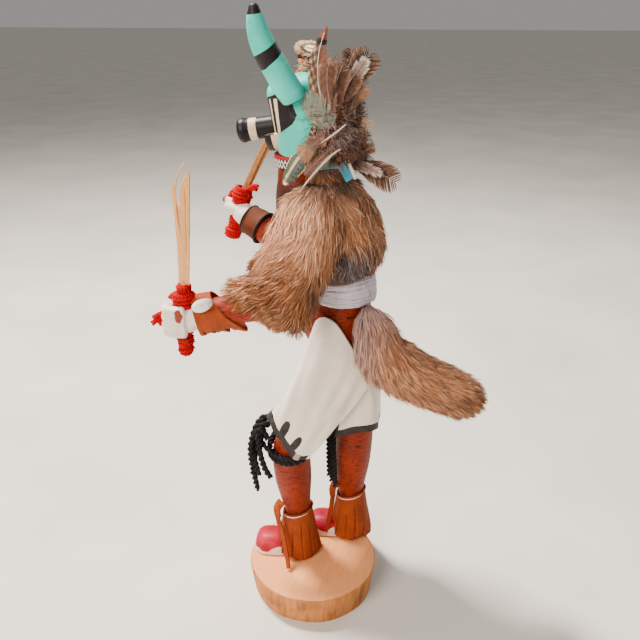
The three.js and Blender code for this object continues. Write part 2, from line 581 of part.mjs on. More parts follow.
add('fur_cape', cape, COLOURS.fur, 0.95);

// ---- fur tail ----
const TAIL = [
  [-9.7, 38, 215.7, 5.5, 5.5], [-5, 41.5, 201, 8, 8], [-5.2, 47.5, 184.5, 12, 12], [-9.3, 61.6, 171.6, 15, 15.5],
  [-14.3, 78.8, 161.7, 14.5, 15], [-19, 94, 155.5, 12.5, 12.5], [-21.9, 103, 153, 8, 8],
];
add('fox_tail', tube(TAIL, { sides: 12, domes: [3, 3] }), COLOURS.tail, 0.95);

// ---- feathers: a soft mass behind the mask and the flat feathers rising from it ----
// Each feather: root, middle, tip, half width.
const FEATHERS = [
  [[7.8, 16, 321], [12.4, 8.4, 344], [-4, 6.5, 368], 6.5],
  [[-3, 10, 340], [-6.6, 1.2, 354.6], [-11.6, -11, 359.4], 5],
  [[-9.5, 15, 322], [-11.6, 23, 341], [-13.3, 31.5, 355], 8],
  [[-13, 16, 322], [-12.4, 22, 327], [-11.9, 28, 331.5], 4.5],
  [[-10.5, 16, 314], [-10.4, 24, 315.6], [-10.4, 31, 316.7], 6],
  [[-11, 16, 306], [-11.2, 26, 306], [-11.3, 33, 306.5], 5.5],
  [[-10, 19, 301], [-11.6, 34, 295], [-13.2, 48, 288.5], 8],
  [[11.5, 11, 312], [15.4, -1.5, 301.5], [17.6, -9.2, 290.5], 5.5],
  [[-16, 14, 330], [-20, 16, 346], [-22, 16.5, 358], 6],
  [[-24, 12, 320], [-30, 18, 332], [-33, 22, 342], 6],
  [[-26, 14, 306], [-34, 22, 304], [-40, 30, 300], 6.5],
];
const THIN = 0.9;
function feather([root, middle, tip, width]) {
  const profile = [0.4, 0.9, 1, 0.6];
  const path = profile.map((_, k) => between([root, middle, tip], (k * 2) / 3));
  return tube(path.map(([x, y, z], k) => [x, y, z, THIN, width * profile[k]]), { sides: 4 });
}
const down = tube([
  [-9, 15, 294.4, 14, 9], [-10, 15.5, 300, 21, 14], [-10.5, 15, 309, 25, 17], [-11, 13, 320, 25.5, 17],
  [-11.5, 10, 331, 23, 16], [-10, 7, 342, 16, 13], [-8, 5, 350, 9, 8],
], { sides: 10, upright: true, domes: [1, 4] });
const plume = join(down, ...FEATHERS.map(feather));
const neck = [[-12.3, -10.3, 286, 16, 16], [-12, -9.8, 302.4, 16, 16]];
const neckRoom = tube(neck, { upright: true, sides: 16 });
const hornRoom = [horn(LEFT_HORN, GAP), horn(RIGHT_HORN, GAP), hornLedge];
const headdress = cut(plume, mask(2 * GAP), neckRoom, torso(GAP), ...hornRoom);
add('head_feathers', headdress, COLOURS.feather, 0.95);

export default doll;
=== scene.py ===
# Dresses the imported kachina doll: carved and painted wood, leather, yarn, fur and feathers.
# Sizes are millimetres until a mesh is made; the figure faces -Y and its left side is +X.
import math
import bpy
import numpy as np
from mathutils import Euler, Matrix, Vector


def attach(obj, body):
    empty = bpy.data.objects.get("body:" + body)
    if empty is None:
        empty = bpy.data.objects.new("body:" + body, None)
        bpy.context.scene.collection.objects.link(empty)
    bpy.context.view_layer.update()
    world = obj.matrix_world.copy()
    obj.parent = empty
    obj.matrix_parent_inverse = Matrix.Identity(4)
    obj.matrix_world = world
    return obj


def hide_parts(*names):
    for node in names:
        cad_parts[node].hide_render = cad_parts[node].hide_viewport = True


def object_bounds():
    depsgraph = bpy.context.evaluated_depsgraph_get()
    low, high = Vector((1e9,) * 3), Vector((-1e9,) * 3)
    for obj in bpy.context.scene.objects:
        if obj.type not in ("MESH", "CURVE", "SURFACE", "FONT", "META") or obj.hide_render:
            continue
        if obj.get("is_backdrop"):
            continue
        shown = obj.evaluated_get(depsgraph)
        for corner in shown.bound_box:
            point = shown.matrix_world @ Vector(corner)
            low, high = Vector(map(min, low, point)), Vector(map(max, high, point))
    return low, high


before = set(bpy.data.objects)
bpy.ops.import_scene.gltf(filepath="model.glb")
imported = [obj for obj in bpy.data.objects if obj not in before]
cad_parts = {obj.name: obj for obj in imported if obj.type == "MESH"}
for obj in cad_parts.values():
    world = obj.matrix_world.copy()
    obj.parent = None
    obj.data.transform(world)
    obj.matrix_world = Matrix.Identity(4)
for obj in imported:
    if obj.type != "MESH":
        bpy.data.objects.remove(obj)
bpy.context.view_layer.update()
mm = 0.001
turn = 2 * math.pi


# camera, floor and light
studio = {
    "cameraAt": (364.8, 109.8, 374.1), "cameraTurn": (66.0, 0.0, 106.0), "lens": 38.59,
    "floorSize": 40.0, "floorColours": ("#d6d3cd", "#e6e1d8"),
    "worldColour": "#f1eee9", "worldStrength": 0.36, "lampsAimAt": (0.0, 0.0, 0.2),
    # each lamp in metres: place, power, size, colour
    "lamps": {"key": ((-0.22, -0.5, 1.25), 44.0, 0.2, "#fff4e8"),
              "fill": ((1.0, -0.4, 0.85), 20.0, 0.7, "#fff0e2"),
              "rim": ((-0.8, 0.35, 0.8), 3.0, 0.7, "#ffffff")},
}


def tint(code):
    parts = [int(code[i:i + 2], 16) / 255 for i in (1, 3, 5)]
    return tuple(p / 12.92 if p <= 0.04045 else ((p + 0.055) / 1.055) ** 2.4 for p in parts)


def deselectAll():
    bpy.ops.object.select_all(action="DESELECT")


def only(piece):
    deselectAll()
    piece.select_set(True)
    bpy.context.view_layer.objects.active = piece


def primitive(name, add, **settings):
    deselectAll()
    add(**settings)
    bpy.context.object.name = name
    return bpy.context.object


def setStudio():
    bpy.ops.object.camera_add(location=[v * mm for v in studio["cameraAt"]],
                              rotation=[math.radians(v) for v in studio["cameraTurn"]])
    camera = bpy.context.object
    camera.data.sensor_width = 36
    camera.data.lens = studio["lens"]
    camera.data.clip_start = 0.01
    bpy.context.scene.camera = camera
    floor = primitive("studio_floor", bpy.ops.mesh.primitive_plane_add, size=studio["floorSize"])
    paper = Finish("floorPaper", roughness=0.9)
    paper.colour(paper.twoTone(6, *studio["floorColours"], detail=2))
    floor.data.materials.append(paper.material)
    floor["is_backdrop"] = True
    world = bpy.data.worlds.new("studioWorld")
    world.use_nodes = True
    sky = world.node_tree.nodes["Background"]
    sky.inputs["Color"].default_value = (*tint(studio["worldColour"]), 1)
    sky.inputs["Strength"].default_value = studio["worldStrength"]
    bpy.context.scene.world = world
    for name, (at, power, size, colour) in studio["lamps"].items():
        lamp = primitive(f"{name}Light", bpy.ops.object.light_add, type="AREA", location=at)
        lamp.data.energy = power
        lamp.data.size = size
        lamp.data.color = tint(colour)
        aim = Vector(studio["lampsAimAt"]) - Vector(at)
        lamp.rotation_euler = aim.to_track_quat("-Z", "Y").to_euler()


# finishes: a small helper that wires nodes on Object coordinates or on a stored colour
class Finish:
    def __init__(self, name, roughness=0.6):
        self.material = bpy.data.materials.new(name)
        self.material.use_nodes = True
        self.tree = self.material.node_tree
        self.shader = self.tree.nodes["Principled BSDF"]
        self.shader.inputs["Roughness"].default_value = roughness
        self.shader.inputs["Specular IOR Level"].default_value = 0.22
        self.place = self.tree.nodes.new("ShaderNodeTexCoord").outputs["Object"]

    def node(self, kind, values=(), **settings):
        made = self.tree.nodes.new(kind)
        for label, value in settings.items():
            setattr(made, label, value)
        for socket, value in values:
            self.feed(made.inputs[socket], value)
        return made

    def feed(self, socket, value):
        if isinstance(value, str):
            socket.default_value = (*tint(value), 1)
        elif isinstance(value, bpy.types.NodeSocket):
            self.tree.links.new(value, socket)
        else:
            socket.default_value = value

    def vector(self, kind, first, *others):
        values = list(enumerate([first, *others]))
        return self.node("ShaderNodeVectorMath", values, operation=kind)

    def scaled(self, stretch, source=None):
        return self.vector("MULTIPLY", source or self.place, stretch).outputs[0]

    def noise(self, scale, detail=3.0, stretch=(1, 1, 1), source=None, warp=0.0):
        values = [("Vector", self.scaled(stretch, source)), ("Scale", scale), ("Detail", detail),
                  ("Roughness", 0.55), ("Distortion", warp)]
        return self.node("ShaderNodeTexNoise", values).outputs["Fac"]

    def cracks(self, scale):
        values = [("Vector", self.place), ("Scale", scale)]
        return self.node("ShaderNodeTexVoronoi", values, feature="DISTANCE_TO_EDGE").outputs["Distance"]

    def ramp(self, value, stops):
        made = self.node("ShaderNodeValToRGB", [("Fac", value)])
        marks = made.color_ramp.elements
        while len(marks) < len(stops):
            marks.new(0.5)
        for mark, (at, colour) in zip(marks, stops):
            mark.position = at
            mark.color = (*(tint(colour) if isinstance(colour, str) else [colour] * 3), 1)
        return made.outputs["Color"]

    def twoTone(self, scale, low, high, **settings):
        return self.ramp(self.noise(scale, **settings), [(0.3, low), (0.7, high)])

    def mix(self, amount, first, second, mode="MIX"):
        made = self.node("ShaderNodeMix", [(0, amount)], data_type="RGBA", blend_type=mode)
        self.feed(made.inputs[6], first)
        self.feed(made.inputs[7], second)
        return made.outputs[2]

    def calc(self, kind, first, second=0.0, clamp=False):
        made = self.node("ShaderNodeMath", [(0, first), (1, second)], operation=kind, use_clamp=clamp)
        return made.outputs[0]

    def plus(self, first, second):
        return self.calc("ADD", first, second)

    def minus(self, first, second):
        return self.calc("SUBTRACT", first, second)

    def times(self, first, second):
        return self.calc("MULTIPLY", first, second)

    def larger(self, first, second):
        return self.calc("MAXIMUM", first, second)

    def above(self, value, level):
        return self.calc("GREATER_THAN", value, level)

    def below(self, value, level):
        return self.calc("LESS_THAN", value, level)

    def between(self, value, low, high):
        return self.times(self.above(value, low), self.below(value, high))

    def near(self, value, middle, reach):
        return self.below(self.calc("ABSOLUTE", self.minus(value, middle)), reach)

    def rise(self, value, start, slope):
        # from 0 at the start up to 1, or down from 1 to 0 where the slope is below nought
        return self.calc("MULTIPLY", self.minus(value, start), slope, clamp=True)

    def wobble(self, scale, size, detail=1):
        return self.times(self.minus(self.noise(scale, detail=detail), 0.5), size)

    def parts(self, source=None):
        return self.node("ShaderNodeSeparateXYZ", [(0, source or self.place)]).outputs

    def flat(self):
        return self.node("ShaderNodeUVMap", uv_map="flat").outputs[0]

    def painted(self):
        return self.shader.inputs["Base Color"].links[0].from_socket

    def colour(self, value):
        self.feed(self.shader.inputs["Base Color"], value)

    def relief(self, height, depth, strength=1.0):
        values = [("Height", height), ("Distance", depth * mm), ("Strength", strength)]
        self.feed(self.shader.inputs["Normal"], self.node("ShaderNodeBump", values).outputs[0])


# shapes: rings along a path, and meshes made from them
def curveThrough(rows, count):
    rows = np.asarray(rows, float)
    last = len(rows) - 1
    place = np.linspace(0, last, count)
    first = np.minimum(place.astype(int), last - 1)
    t = (place - first)[:, None]
    a, b, c, d = (rows[np.clip(first + k, 0, last)] for k in (-1, 0, 1, 2))
    return 0.5 * (2 * b + (c - a) * t + (2 * a - 5 * b + 4 * c - d) * t * t + (3 * b - a - 3 * c + d) * t ** 3)


def unit(v):
    return v / np.maximum(np.linalg.norm(v, axis=-1, keepdims=True), 1e-9)


def circle(sides):
    return np.arange(sides) * turn / sides


def squareTo(along, side):
    # the part of side that stands square to each row of along
    side = np.asarray(side, float)
    return unit(side - along * (along @ side)[:, None])


class Path:
    # rings of an ellipse along stations [x, y, z, half width, half depth]
    domeSteps = (0.45, 0.9, 1.25)

    def __init__(self, stations, count=40, side=(1, 0, 0), upright=False, grow=0.0):
        rows = curveThrough(stations, count)
        self.centre = rows[:, :3]
        self.wide = rows[:, 3] + grow
        self.deep = (rows[:, 4] if rows.shape[1] > 4 else rows[:, 3]) + grow
        self.along = unit(np.gradient(self.centre, axis=0))
        if upright:
            rises = self.centre[-1, 2] > self.centre[0, 2]
            self.along = np.zeros_like(self.along) + [0, 0, 1 if rises else -1]
        self.across = squareTo(self.along, side)
        self.over = np.cross(self.along, self.across)

    def thinned(self, by):
        return np.c_[self.centre, self.wide - by, self.deep - by]

    def pick(self, values, t):
        place = np.clip(t, 0, 1) * (len(values) - 1)
        low = np.minimum(place.astype(int), len(values) - 2)
        part = place - low
        part = part[:, None] if values.ndim > 1 else part
        return values[low] * (1 - part) + values[low + 1] * part

    def at(self, t, angle, extra=0.0):
        t, angle = np.atleast_1d(t).astype(float), np.atleast_1d(angle).astype(float)
        across, over = self.pick(self.across, t), self.pick(self.over, t)
        wide, deep = self.pick(self.wide, t) + extra, self.pick(self.deep, t) + extra
        c, s = np.cos(angle), np.sin(angle)
        ring = across * (wide * c)[:, None] + over * (deep * s)[:, None]
        normal = unit(across * (deep * c)[:, None] + over * (wide * s)[:, None])
        return self.pick(self.centre, t) + ring, normal, self.pick(self.along, t)

    def rings(self, sides, domes=(0, 0)):
        count = len(self.centre)
        rows = [self.at(np.full(sides, i / (count - 1)), circle(sides))[0] for i in range(count)]
        for end, depth in ((0, domes[0]), (count - 1, domes[1])):
            if not depth:
                continue
            rim = rows[0 if end == 0 else -1]
            middle, push = self.centre[end], self.along[end] * (-depth if end == 0 else depth)
            rounds = [middle + (rim - middle) * math.cos(k) + push * math.sin(k) for k in self.domeSteps]
            rows = rounds[::-1] + rows if end == 0 else rows + rounds
        return rows


def carve(name, rings):
    # a circle drawn out ring by ring, capped at both ends
    sides = len(rings[0])
    piece = primitive(name, bpy.ops.mesh.primitive_circle_add, vertices=sides, radius=0.01)
    bpy.ops.object.mode_set(mode="EDIT")
    bpy.ops.mesh.select_all(action="SELECT")
    for _ in rings[1:]:
        bpy.ops.mesh.extrude_region_move(TRANSFORM_OT_translate={"value": (0, 0, 0.01)})
    bpy.ops.mesh.edge_face_add()
    bpy.ops.object.mode_set(mode="OBJECT")
    mesh = piece.data
    mesh.vertices.foreach_set("co", (np.concatenate(rings) * mm).ravel())
    mesh.vertices.foreach_set("select", np.arange(len(mesh.vertices)) < sides)
    mesh.edges.foreach_set("select", np.zeros(len(mesh.edges), bool))
    mesh.polygons.foreach_set("select", np.zeros(len(mesh.polygons), bool))
    bpy.ops.object.mode_set(mode="EDIT")
    bpy.ops.mesh.select_mode(type="VERT")
    bpy.ops.mesh.edge_face_add()
    bpy.ops.mesh.select_all(action="SELECT")
    bpy.ops.mesh.normals_make_consistent(inside=False)
    bpy.ops.object.mode_set(mode="OBJECT")
    bpy.ops.object.shade_smooth_by_angle(angle=math.radians(50))
    return piece


def fromGrid(name, points, faces):
    mesh = bpy.data.meshes.new(name)
    mesh.from_pydata((np.asarray(points) * mm).tolist(), [], [list(map(int, f)) for f in faces])
    mesh.polygons.foreach_set("use_smooth", np.ones(len(mesh.polygons), bool))
    piece = bpy.data.objects.new(name, mesh)
    bpy.context.collection.objects.link(piece)
    return piece


def modify(piece, kind, **settings):
    only(piece)
    made = piece.modifiers.new(kind.lower(), kind)
    for label, value in settings.items():
        setattr(made, label, value)
    bpy.ops.object.modifier_apply(modifier=made.name)


def editAll(piece, step, **settings):
    # one edit mode step on the whole mesh
    only(piece)
    bpy.ops.object.mode_set(mode="EDIT")
    bpy.ops.mesh.select_all(action="SELECT")
    step(**settings)
    bpy.ops.object.mode_set(mode="OBJECT")


def outward(piece):
    editAll(piece, bpy.ops.mesh.normals_make_consistent, inside=False)


def joined(name, *parts):
    deselectAll()
    for part in parts:
        part.select_set(True)
    bpy.context.view_layer.objects.active = parts[0]
    bpy.ops.object.join()
    parts[0].name = name
    return parts[0]


def melted(piece, grain, smoothing):
    # overlapping shapes become one skin
    modify(piece, "REMESH", mode="VOXEL", voxel_size=grain * mm, use_smooth_shade=True)
    modify(piece, "SMOOTH", factor=0.5, iterations=smoothing)
    return piece


def dress(piece, finish, slot, *nodes):
    piece.data.materials.clear()
    piece.data.materials.append(finish.material)
    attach(piece, "root")
    if nodes:
        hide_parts(*nodes)


def storeColours(piece, name, colours):
    layer = piece.data.color_attributes.new(name, "FLOAT_COLOR", "POINT")
    full = np.ones((len(colours), 4))
    full[:, :3] = colours
    layer.data.foreach_set("color", full.ravel())


def addMap(piece, first, second):
    # two measures for each point become the piece's own UV map
    uv = np.stack([first, second], axis=1)
    corners = np.empty(len(piece.data.loops), int)
    piece.data.loops.foreach_get("vertex_index", corners)
    piece.data.uv_layers.new(name="flat").data.foreach_set("uv", uv[corners].ravel())


def wallFaces(rows, sides, leaveOut=lambda i, k: False):
    faces = []
    for i in range(rows - 1):
        for k in range(sides):
            n = (k + 1) % sides
            if not leaveOut(i, k):
                faces.append([i * sides + k, i * sides + n, (i + 1) * sides + n, (i + 1) * sides + k])
    return faces


def tubeGrid(path, sides, domes=(0, 0)):
    rows = path.rings(sides, domes)
    ends = [[*range(sides)][::-1], [*range((len(rows) - 1) * sides, len(rows) * sides)]]
    return np.concatenate(rows), wallFaces(len(rows), sides) + ends


def gathered(name, grids):
    # several closed grids in one mesh
    points, faces, start = [], [], 0
    for some, shape in grids:
        points.append(some)
        faces += [[v + start for v in f] for f in shape]
        start += len(some)
    return fromGrid(name, np.concatenate(points), faces)


def openShell(name, points, faces, keepFace):
    # only the faces whose middles pass the test
    middles = np.array([points[list(f)].mean(axis=0) for f in faces])
    return fromGrid(name, points, [f for f, kept in zip(faces, keepFace(middles)) if kept])


def flatBand(name, line, half, thick, facing, section):
    # a band along a line; the section gives shares of its half width and half thickness
    along = unit(np.gradient(line, axis=0))
    out = squareTo(along, facing)
    across = np.cross(along, out)
    return carve(name, [np.array([line[i] + across[i] * half[i] * a + out[i] * thick / 2 * b for a, b in section])
                        for i in range(len(line))])


setStudio()
print("studio set")


# finishes shared by several pieces
# heights of the dark shirt paint and of the painted shade on the belly front, and where that shade starts forwards
shirtPaintAndShade = {"chest": (0.228, 0.291), "bellyShade": (0.172, 0.226), "bellyFront": -0.003}  # metres


def woodFinish():
    wood = Finish("cottonwoodSlice", roughness=0.62)
    grain = wood.noise(55, detail=5, stretch=(1, 7, 0.6), warp=0.4)
    top = wood.ramp(grain, [(0.3, "#e2935a"), (0.55, "#eea166"), (0.8, "#e6985c")])
    saw = wood.noise(300, detail=4, stretch=(1, 1, 0.12))
    side = wood.ramp(saw, [(0.3, "#a45f2a"), (0.5, "#c67e42"), (0.75, "#d28c4e")])
    smudge = wood.ramp(wood.noise(60, detail=4, stretch=(1, 1, 0.7)), [(0.5, 1.0), (0.68, 0.55)])
    side = wood.mix(1.0, side, smudge, "MULTIPLY")
    normal = wood.node("ShaderNodeNewGeometry").outputs["Normal"]
    wood.colour(wood.mix(wood.above(wood.parts(normal)[2], 0.7), side, top))
    wood.relief(wood.plus(saw, grain), 0.22, 0.5)
    return wood


def skinFinish(name, shirtedAndShaded):
    # red-brown paint with dark pores and short level scratches
    skin = Finish(name, roughness=0.55)
    cloud = skin.noise(45, detail=4)
    base = skin.ramp(cloud, [(0.3, "#681503"), (0.5, "#882205"), (0.72, "#9a2e0b")])
    streak = skin.noise(420, detail=3, stretch=(0.45, 0.45, 2.2))
    base = skin.mix(0.4, base, skin.ramp(streak, [(0.35, "#501202"), (0.65, "#a0360c")]))
    pores = skin.ramp(skin.noise(620, detail=2, stretch=(0.7, 0.7, 1.5)), [(0.605, 0.0), (0.655, 1.0)])
    dashes = skin.noise(190, detail=3, stretch=(0.8, 0.8, 3.2), warp=0.6)
    marks = skin.mix(1.0, pores, skin.ramp(dashes, [(0.635, 0.0), (0.665, 1.0)]), "SCREEN")
    if shirtedAndShaded:
        # a dark shirt of paint between the waist and the neck, and painted shade: the belly front, which lies in
        # shade above the kilt, takes the same dark colour
        _, y, z = skin.parts()
        low, high = shirtPaintAndShade["chest"]
        chest = skin.times(skin.rise(z, low, 60.0), skin.rise(z, high, -120.0))
        low, high = shirtPaintAndShade["bellyShade"]
        bellyShade = skin.times(skin.rise(z, low, 120.0), skin.below(z, high))
        bellyShade = skin.times(skin.rise(y, shirtPaintAndShade["bellyFront"], -200.0), bellyShade)
        shirtAndShade = skin.ramp(cloud, [(0.35, "#3a211c"), (0.7, "#5a342b")])
        base = skin.mix(skin.larger(chest, bellyShade), base, shirtAndShade)
    skin.colour(skin.mix(marks, base, "#1d0f0c"))
    skin.relief(skin.minus(streak, marks), 0.18, 0.7)
    return skin


def turquoiseFinish(name):
    paint = Finish(name, roughness=0.5)
    base = paint.ramp(paint.noise(70, detail=4, warp=0.3), [(0.3, "#2fb9a9"), (0.6, "#40cfbf"), (0.85, "#55dfd2")])
    specks = paint.ramp(paint.noise(500, detail=2), [(0.68, 0.0), (0.74, 1.0)])
    paint.colour(paint.mix(specks, base, "#2f9488"))
    paint.relief(paint.noise(240, detail=3, stretch=(1, 1, 0.5)), 0.16, 0.5)
    return paint


def leatherFinish(name, dark, plain, pale):
    hide = Finish(name, roughness=0.75)
    base = hide.ramp(hide.noise(70, detail=4, warp=0.5), [(0.3, dark), (0.52, plain), (0.78, pale)])
    nap = hide.noise(1400, detail=3)
    hide.colour(hide.mix(0.45, base, hide.ramp(nap, [(0.3, dark), (0.7, pale)])))
    hide.relief(hide.plus(nap, hide.times(hide.cracks(520), 1.5)), 0.16, 0.6)
    return hide


def yarnFinish(name, low, high, rough=0.85):
    yarn = Finish(name, roughness=rough)
    yarn.shader.inputs["Sheen Weight"].default_value = 0.02
    fibre = yarn.noise(2600, detail=3, stretch=(1, 1, 1.6))
    yarn.colour(yarn.ramp(fibre, [(0.3, low), (0.7, high)]))
    yarn.relief(fibre, 0.1, 0.8)
    return yarn


wood = woodFinish()
skin = skinFinish("redBrownPaint", True)
armSkin = skinFinish("redBrownArmPaint", False)
suede = leatherFinish("brownSuede", "#6b270a", "#94390f", "#aa4a17")
darkSuede = leatherFinish("darkSuede", "#341608", "#5a2810", "#703619")
blackYarn = yarnFinish("blackYarn", "#0b0a0c", "#2b282c")
redYarn = yarnFinish("redYarn", "#80000a", "#d80010")
redYarn.shader.inputs["Specular IOR Level"].default_value = 0.05
whiteYarn = yarnFinish("whiteYarn", "#d6cede", "#f7f2fa")
thread = yarnFinish("whiteThread", "#d9c4b8", "#f6ece6", 0.6)

# base: a slice of a branch, narrower below
base = {"radius": 45.0, "foot": 42.0, "height": 22.0, "edge": 2.6, "sides": 96, "wander": 0.35}


def makeBase():
    height = base["height"] * mm
    disc = primitive("base_slice", bpy.ops.mesh.primitive_cone_add, vertices=base["sides"], depth=height,
                     radius1=base["foot"] * mm, radius2=base["radius"] * mm, location=(0, 0, height / 2))
    bpy.ops.object.transform_apply(location=True)
    # only the upper rim is rounded
    weights = disc.data.attributes.new("bevel_weight_edge", "FLOAT", "EDGE")
    for edge in disc.data.edges:
        if all(disc.data.vertices[v].co.z > height * 0.9 for v in edge.vertices):
            weights.data[edge.index].value = 1
    modify(disc, "BEVEL", width=base["edge"] * mm, segments=4, limit_method="WEIGHT")
    for vertex in disc.data.vertices:
        angle = math.atan2(vertex.co.y, vertex.co.x)
        swell = 1 - base["wander"] / base["radius"] * (1 + math.sin(3 * angle + 1) * math.cos(angle * 5))
        vertex.co.x *= swell
        vertex.co.y *= swell
    only(disc)
    bpy.ops.object.shade_smooth_by_angle(angle=math.radians(35))
    dress(disc, wood, "base_wood", "base_disc")


# carved figure
figure = {
    "torso": [[-19.5, 11.5, 176, 18, 13.5], [-20, 9.6, 193, 22, 21.0], [-20.6, 8.4, 201, 21.2, 22.2],
              [-21, 12.4, 208, 20.3, 19.2],
              [-21, 14.5, 216, 18.6, 17.2], [-20.5, 12, 230, 20.5, 18], [-19, 4, 248, 24.5, 19.5],
              [-17, -3.5, 264, 26, 20.5], [-15.5, -6.5, 277, 22.5, 18.5], [-13.2, -9.5, 286.5, 15.5, 14],
              [-12.3, -10.3, 293, 12.8, 12.6], [-12, -9.8, 306, 12, 12]],
    "leftLeg": [[-3.6, -12, 31, 8.9, 9.4], [-3.6, -12, 57, 8.7, 9], [-1.6, -12.8, 69, 9.9, 10.4],
                [1.4, -13.3, 88, 12, 12.5], [5.2, -12.3, 114, 12.4, 12.6], [2.4, -4.4, 137, 12.4, 12.4],
                [-4.5, 8.6, 163, 12.8, 12.4], [-9.5, 11.5, 190, 13.5, 15]],
    "rightLeg": [[-32.9, 19.3, 31, 8.9, 9.4], [-32.9, 19.3, 57, 8.7, 9], [-31.4, 18.9, 69, 10.6, 11],
                 [-30, 20, 88, 12.9, 13], [-28.8, 21.4, 112, 13.2, 13.2], [-28.4, 20.4, 140, 13.4, 14],
                 [-28.8, 17.6, 165, 13.4, 15], [-29.4, 14.5, 190, 13.2, 16]],
    "grain": 1.1,
}


def makeFigure():
    parts = [carve(f"{name}Form", Path(figure[name], 36, upright=True).rings(40))
             for name in ("torso", "leftLeg", "rightLeg")]
    body = melted(joined("carved_body", *parts), figure["grain"], 8)
    dress(body, skin, "painted_skin", "carved_figure")


# feet
moccasin = {
    "spots": {"left": (-3.6, -12.0), "right": (-32.9, 19.3)}, "sole": 22.3, "length": 40.0, "back": 9.5,
    "toeOut": 0.17, "width": 11.6, "soleInset": 0.93, "bandTop": 0.0272,
    # along the foot: share of its length, share of its half width, height above the sole
    "shape": [[0, 0.55, 8], [0.08, 0.82, 8.6], [0.42, 0.9, 9], [0.62, 1, 12.2], [0.84, 0.98, 12.4],
              [0.95, 0.8, 10.6], [1.0, 0.5, 7]],
}


def moccasinFinish():
    shoe = Finish("crimsonMoccasin", roughness=0.45)
    red = shoe.ramp(shoe.noise(90, detail=3), [(0.3, "#8a021f"), (0.6, "#b30f33"), (0.85, "#c32c4a")])
    edge = shoe.plus(shoe.parts()[2], shoe.wobble(75, 0.012))
    white = shoe.twoTone(300, "#d8ccc6", "#f2eae4")
    shoe.colour(shoe.mix(shoe.above(edge, moccasin["bandTop"]), white, red))
    shoe.relief(shoe.noise(200, detail=3), 0.2, 0.5)
    return shoe


def makeMoccasins():
    finish = moccasinFinish()
    ahead = np.array([math.sin(moccasin["toeOut"]), -math.cos(moccasin["toeOut"])])
    for name, spot in moccasin["spots"].items():
        rings = []
        for t, wide, top in curveThrough(moccasin["shape"], 26):
            x, y = np.array(spot) + ahead * (t * moccasin["length"] - moccasin["back"])
            half = moccasin["width"] * wide
            ring = []
            for angle in circle(28):
                c, s = math.cos(angle), math.sin(angle)
                out = math.copysign(abs(c) ** 0.75, c) * half * (moccasin["soleInset"] if s < -0.05 else 1.0)
                rise = top * s ** 0.8 if s > 0 else 0.0
                ring.append([x - ahead[1] * out, y + ahead[0] * out, moccasin["sole"] + rise])
            rings.append(np.array(ring))
        shoe = melted(carve(f"{name}_moccasin_painted", rings), 0.55, 4)
        dress(shoe, finish, "painted_moccasin", f"{name}_moccasin")


# leather round the ankles: a cuff slit into strips, tied with thread
fringe = {
    "profile": [(57.8, 10.5), (56.2, 9.8), (53, 10.3), (42, 11.9), (33, 13.4), (24.6, 14.7)],
    "strips": 12, "columns": 6, "rows": 26, "slitFrom": 0.55, "wall": 1.0, "lowest": 22.9,
    "tie": 56.2, "tieRadius": 10.1, "thread": 0.55, "tilt": 0.27,
}


def makeFringe(name, spot, seed):
    rng = np.random.default_rng(seed)
    strips, columns, rows = fringe["strips"], fringe["columns"], fringe["rows"]
    perStrip = columns + 1
    around = strips * perStrip
    points = np.zeros((rows, around, 3))
    drop = rng.uniform(-1.6, 1.0, strips)
    flare = rng.uniform(-0.6, 1.2, strips)
    lean = rng.uniform(-0.05, 0.05, strips)
    # each strip has its columns and one more beyond them, where the slit is
    step = turn / strips
    angles = np.concatenate([turn * k / strips + step * np.append(np.linspace(0.02, 0.98, columns), 0.999)
                             for k in range(strips)])
    for i, (z, radius) in enumerate(curveThrough(fringe["profile"], rows)):
        v = max(0.0, (i / (rows - 1) - fringe["slitFrom"]) / (1 - fringe["slitFrom"]))
        for k in range(around):
            strip = k // perStrip
            angle = angles[k] + lean[strip] * v
            r = radius + flare[strip] * v * v + 0.35 * math.sin(angles[k] * 5 + i * 0.22) * (i / rows)
            rise = fringe["tilt"] * r * math.sin(angle) * (1 - i / (rows - 1))
            low = z + rise + drop[strip] * v + 0.5 * v * math.sin(k * 1.7)
            points[i, k] = (spot[0] + r * math.cos(angle), spot[1] + r * math.sin(angle),
                            max(low, fringe["lowest"]))

    def isSlit(i, k):
        return k % perStrip >= columns - 1 and (i + 1) / (rows - 1) > fringe["slitFrom"] + 0.1 * math.sin(k)

    skirt = fromGrid(f"{name}_ankle_hide", points.reshape(-1, 3), wallFaces(rows, around, isSlit))
    editAll(skirt, bpy.ops.mesh.delete_loose)
    outward(skirt)
    modify(skirt, "SOLIDIFY", thickness=fringe["wall"] * mm, offset=0)
    dress(skirt, suede, "brown_leather", f"{name}_ankle_fringe")
    tie = primitive(f"{name}_ankle_thread", bpy.ops.mesh.primitive_torus_add, major_segments=64,
                    minor_segments=10, major_radius=fringe["tieRadius"] * mm, minor_radius=fringe["thread"] * mm,
                    rotation=(math.atan(fringe["tilt"]), 0, 0),
                    location=(spot[0] * mm, spot[1] * mm, fringe["tie"] * mm))
    bpy.ops.object.transform_apply(location=True, rotation=True)
    bpy.ops.object.shade_smooth()
    dress(tie, thread, "white_thread", f"{name}_ankle_tie")


